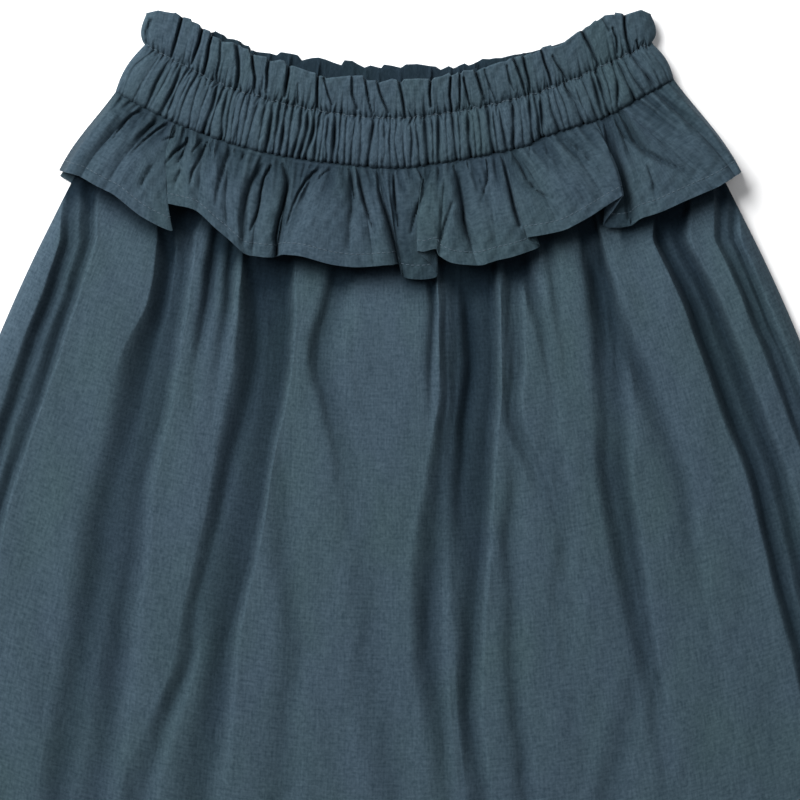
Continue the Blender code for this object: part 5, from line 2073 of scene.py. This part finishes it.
    def sheet(self) -> tuple[Sheet, int]:
        """Shape the panel and lay the cloth's threads down it.

        Returns:
            The sheet, and the row of it that the hem's stitches run along.
        """
        t = np.linspace(0, 1, self.rows + 1)
        drop = self.length * (t - self.row_crowding * np.sin(2 * np.pi * t))
        anchors = self.anchors(drop)
        wide = np.diff(anchors, axis=1).mean(axis=0)
        spare = (self.columns - self.least_columns * len(wide)) * wide / wide.sum()
        across = spaced(anchors, self.least_columns + np.rint(spare).astype(int))
        x, y = self.place(across, drop[:, None])
        shape = self.front_height if self.front else self.back_height
        z, painted_shade = shape(across, drop, x, y)
        down = np.broadcast_to(drop[:, None], across.shape)
        cloth = np.stack([across * self.cloth_half, down + self.cloth_shift], axis=2)
        sheet = Sheet(
            f"{self.name}_panel", self.name, self.facing, np.stack([x, y, z], axis=2), cloth,
            painted_shade, self.flat, Held.LAID,
        )
        return sheet, int(np.argmin(np.abs(drop - (self.length - self.hem))))


@dataclass
class Studio:
    """A pale floor, soft light from the upper left, and the camera straight above.

    Each light has a name, its place, the length of its side and its power in watts.
    """

    camera_place: tuple[float, float, float] = (0.72 * MM, 29.2 * MM, 1.511)
    lens: float = 140.6
    sensor: float = 36.0
    clip_start: float = 0.05
    floor_size: float = 6.0
    floor_height: float = -0.2 * MM
    floor_colour: Colour = (0.95, 0.95, 0.95, 1.0)
    floor_roughness: float = 0.9
    sky: Colour = (0.94, 0.96, 1.0, 1.0)
    sky_strength: float = 0.18
    lights: tuple[tuple[str, tuple[float, float, float], float, float], ...] = (
        ("key", (-1.1, 1.05, 1.4), 1.5, 96.0),
        ("side", (1.0, 0.4, 1.9), 1.2, 6.5),
    )

    def floor(self) -> None:
        """Lay the floor down."""
        deselect()
        bpy.ops.mesh.primitive_plane_add(size=self.floor_size, location=(0, 0, self.floor_height))
        floor = bpy.context.object
        floor.name = "floor"
        material, _, shader = new_material("floor_paper")
        set_inputs(shader, {"Base Color": self.floor_colour, "Roughness": self.floor_roughness})
        floor.data.materials.append(material)

    def light(self, name: str, place: Sequence[float], size: float, watts: float) -> None:
        """Hang a square soft light that points at the middle of the skirt.

        Args:
            name: The light's name.
            place: Where it hangs.
            size: The length of its side.
            watts: Its power.
        """
        deselect()
        bpy.ops.object.light_add(type="AREA", location=place)
        lamp = bpy.context.object
        lamp.name = name
        lamp.data.shape = "SQUARE"
        lamp.data.size = size
        lamp.data.energy = watts
        lamp.rotation_euler = (-Vector(place)).to_track_quat("-Z", "Y").to_euler()

    def build(self) -> None:
        """Set up the floor, the lights, the sky and the camera."""
        self.floor()
        for light in self.lights:
            self.light(*light)
        world = bpy.data.worlds.new("studio")
        world.use_nodes = True
        background = world.node_tree.nodes["Background"]
        set_inputs(background, {"Color": self.sky, "Strength": self.sky_strength})
        bpy.context.scene.world = world
        bpy.context.scene.view_settings.view_transform = "Standard"
        deselect()
        bpy.ops.object.camera_add(location=self.camera_place, rotation=(0, 0, 0))
        camera = bpy.context.object
        camera.name = "camera"
        camera.data.sensor_width = self.sensor
        camera.data.lens = self.lens
        camera.data.clip_start = self.clip_start
        bpy.context.scene.camera = camera


def main() -> None:
    """Build the garment piece by piece, dress it and set up the studio."""
    logging.basicConfig(level=logging.INFO, format="%(message)s")
    cotton = WovenCotton(PlainWeave().group()).material("woven_cotton")
    thread = SewingThread().material("sewing_thread")
    front, back = WaistCurve(dip=34.6 * MM), WaistCurve(dip=31.0 * MM)
    layers = (
        SkirtPanel(Facing.BACK, back, (), BACK_CREASES, columns=230, rows=70),
        SkirtPanel(Facing.FRONT, front, FRONT_VALLEYS, FRONT_CREASES, columns=400, rows=118),
        BackRuffle(Facing.BACK, back),
        FrontRuffle(Facing.FRONT, front),
        # The back band's inside is painted dark, as if in the front's shadow
        Waistband(
            Facing.BACK, back, edge=BACK_HEADING, furrow_share=0.75, columns_a_gather=8,
            inner_height=4.9 * MM, inside_shade=0.88,
        ),
        Waistband(Facing.FRONT, front),
    )
    for layer in layers:
        sheet, row = layer.sheet()
        sheet.build(cotton)
        StitchLine(f"{layer.name}_stitches", sheet, row).build(thread)
    Studio().build()


if __name__ == "__main__":
    main()
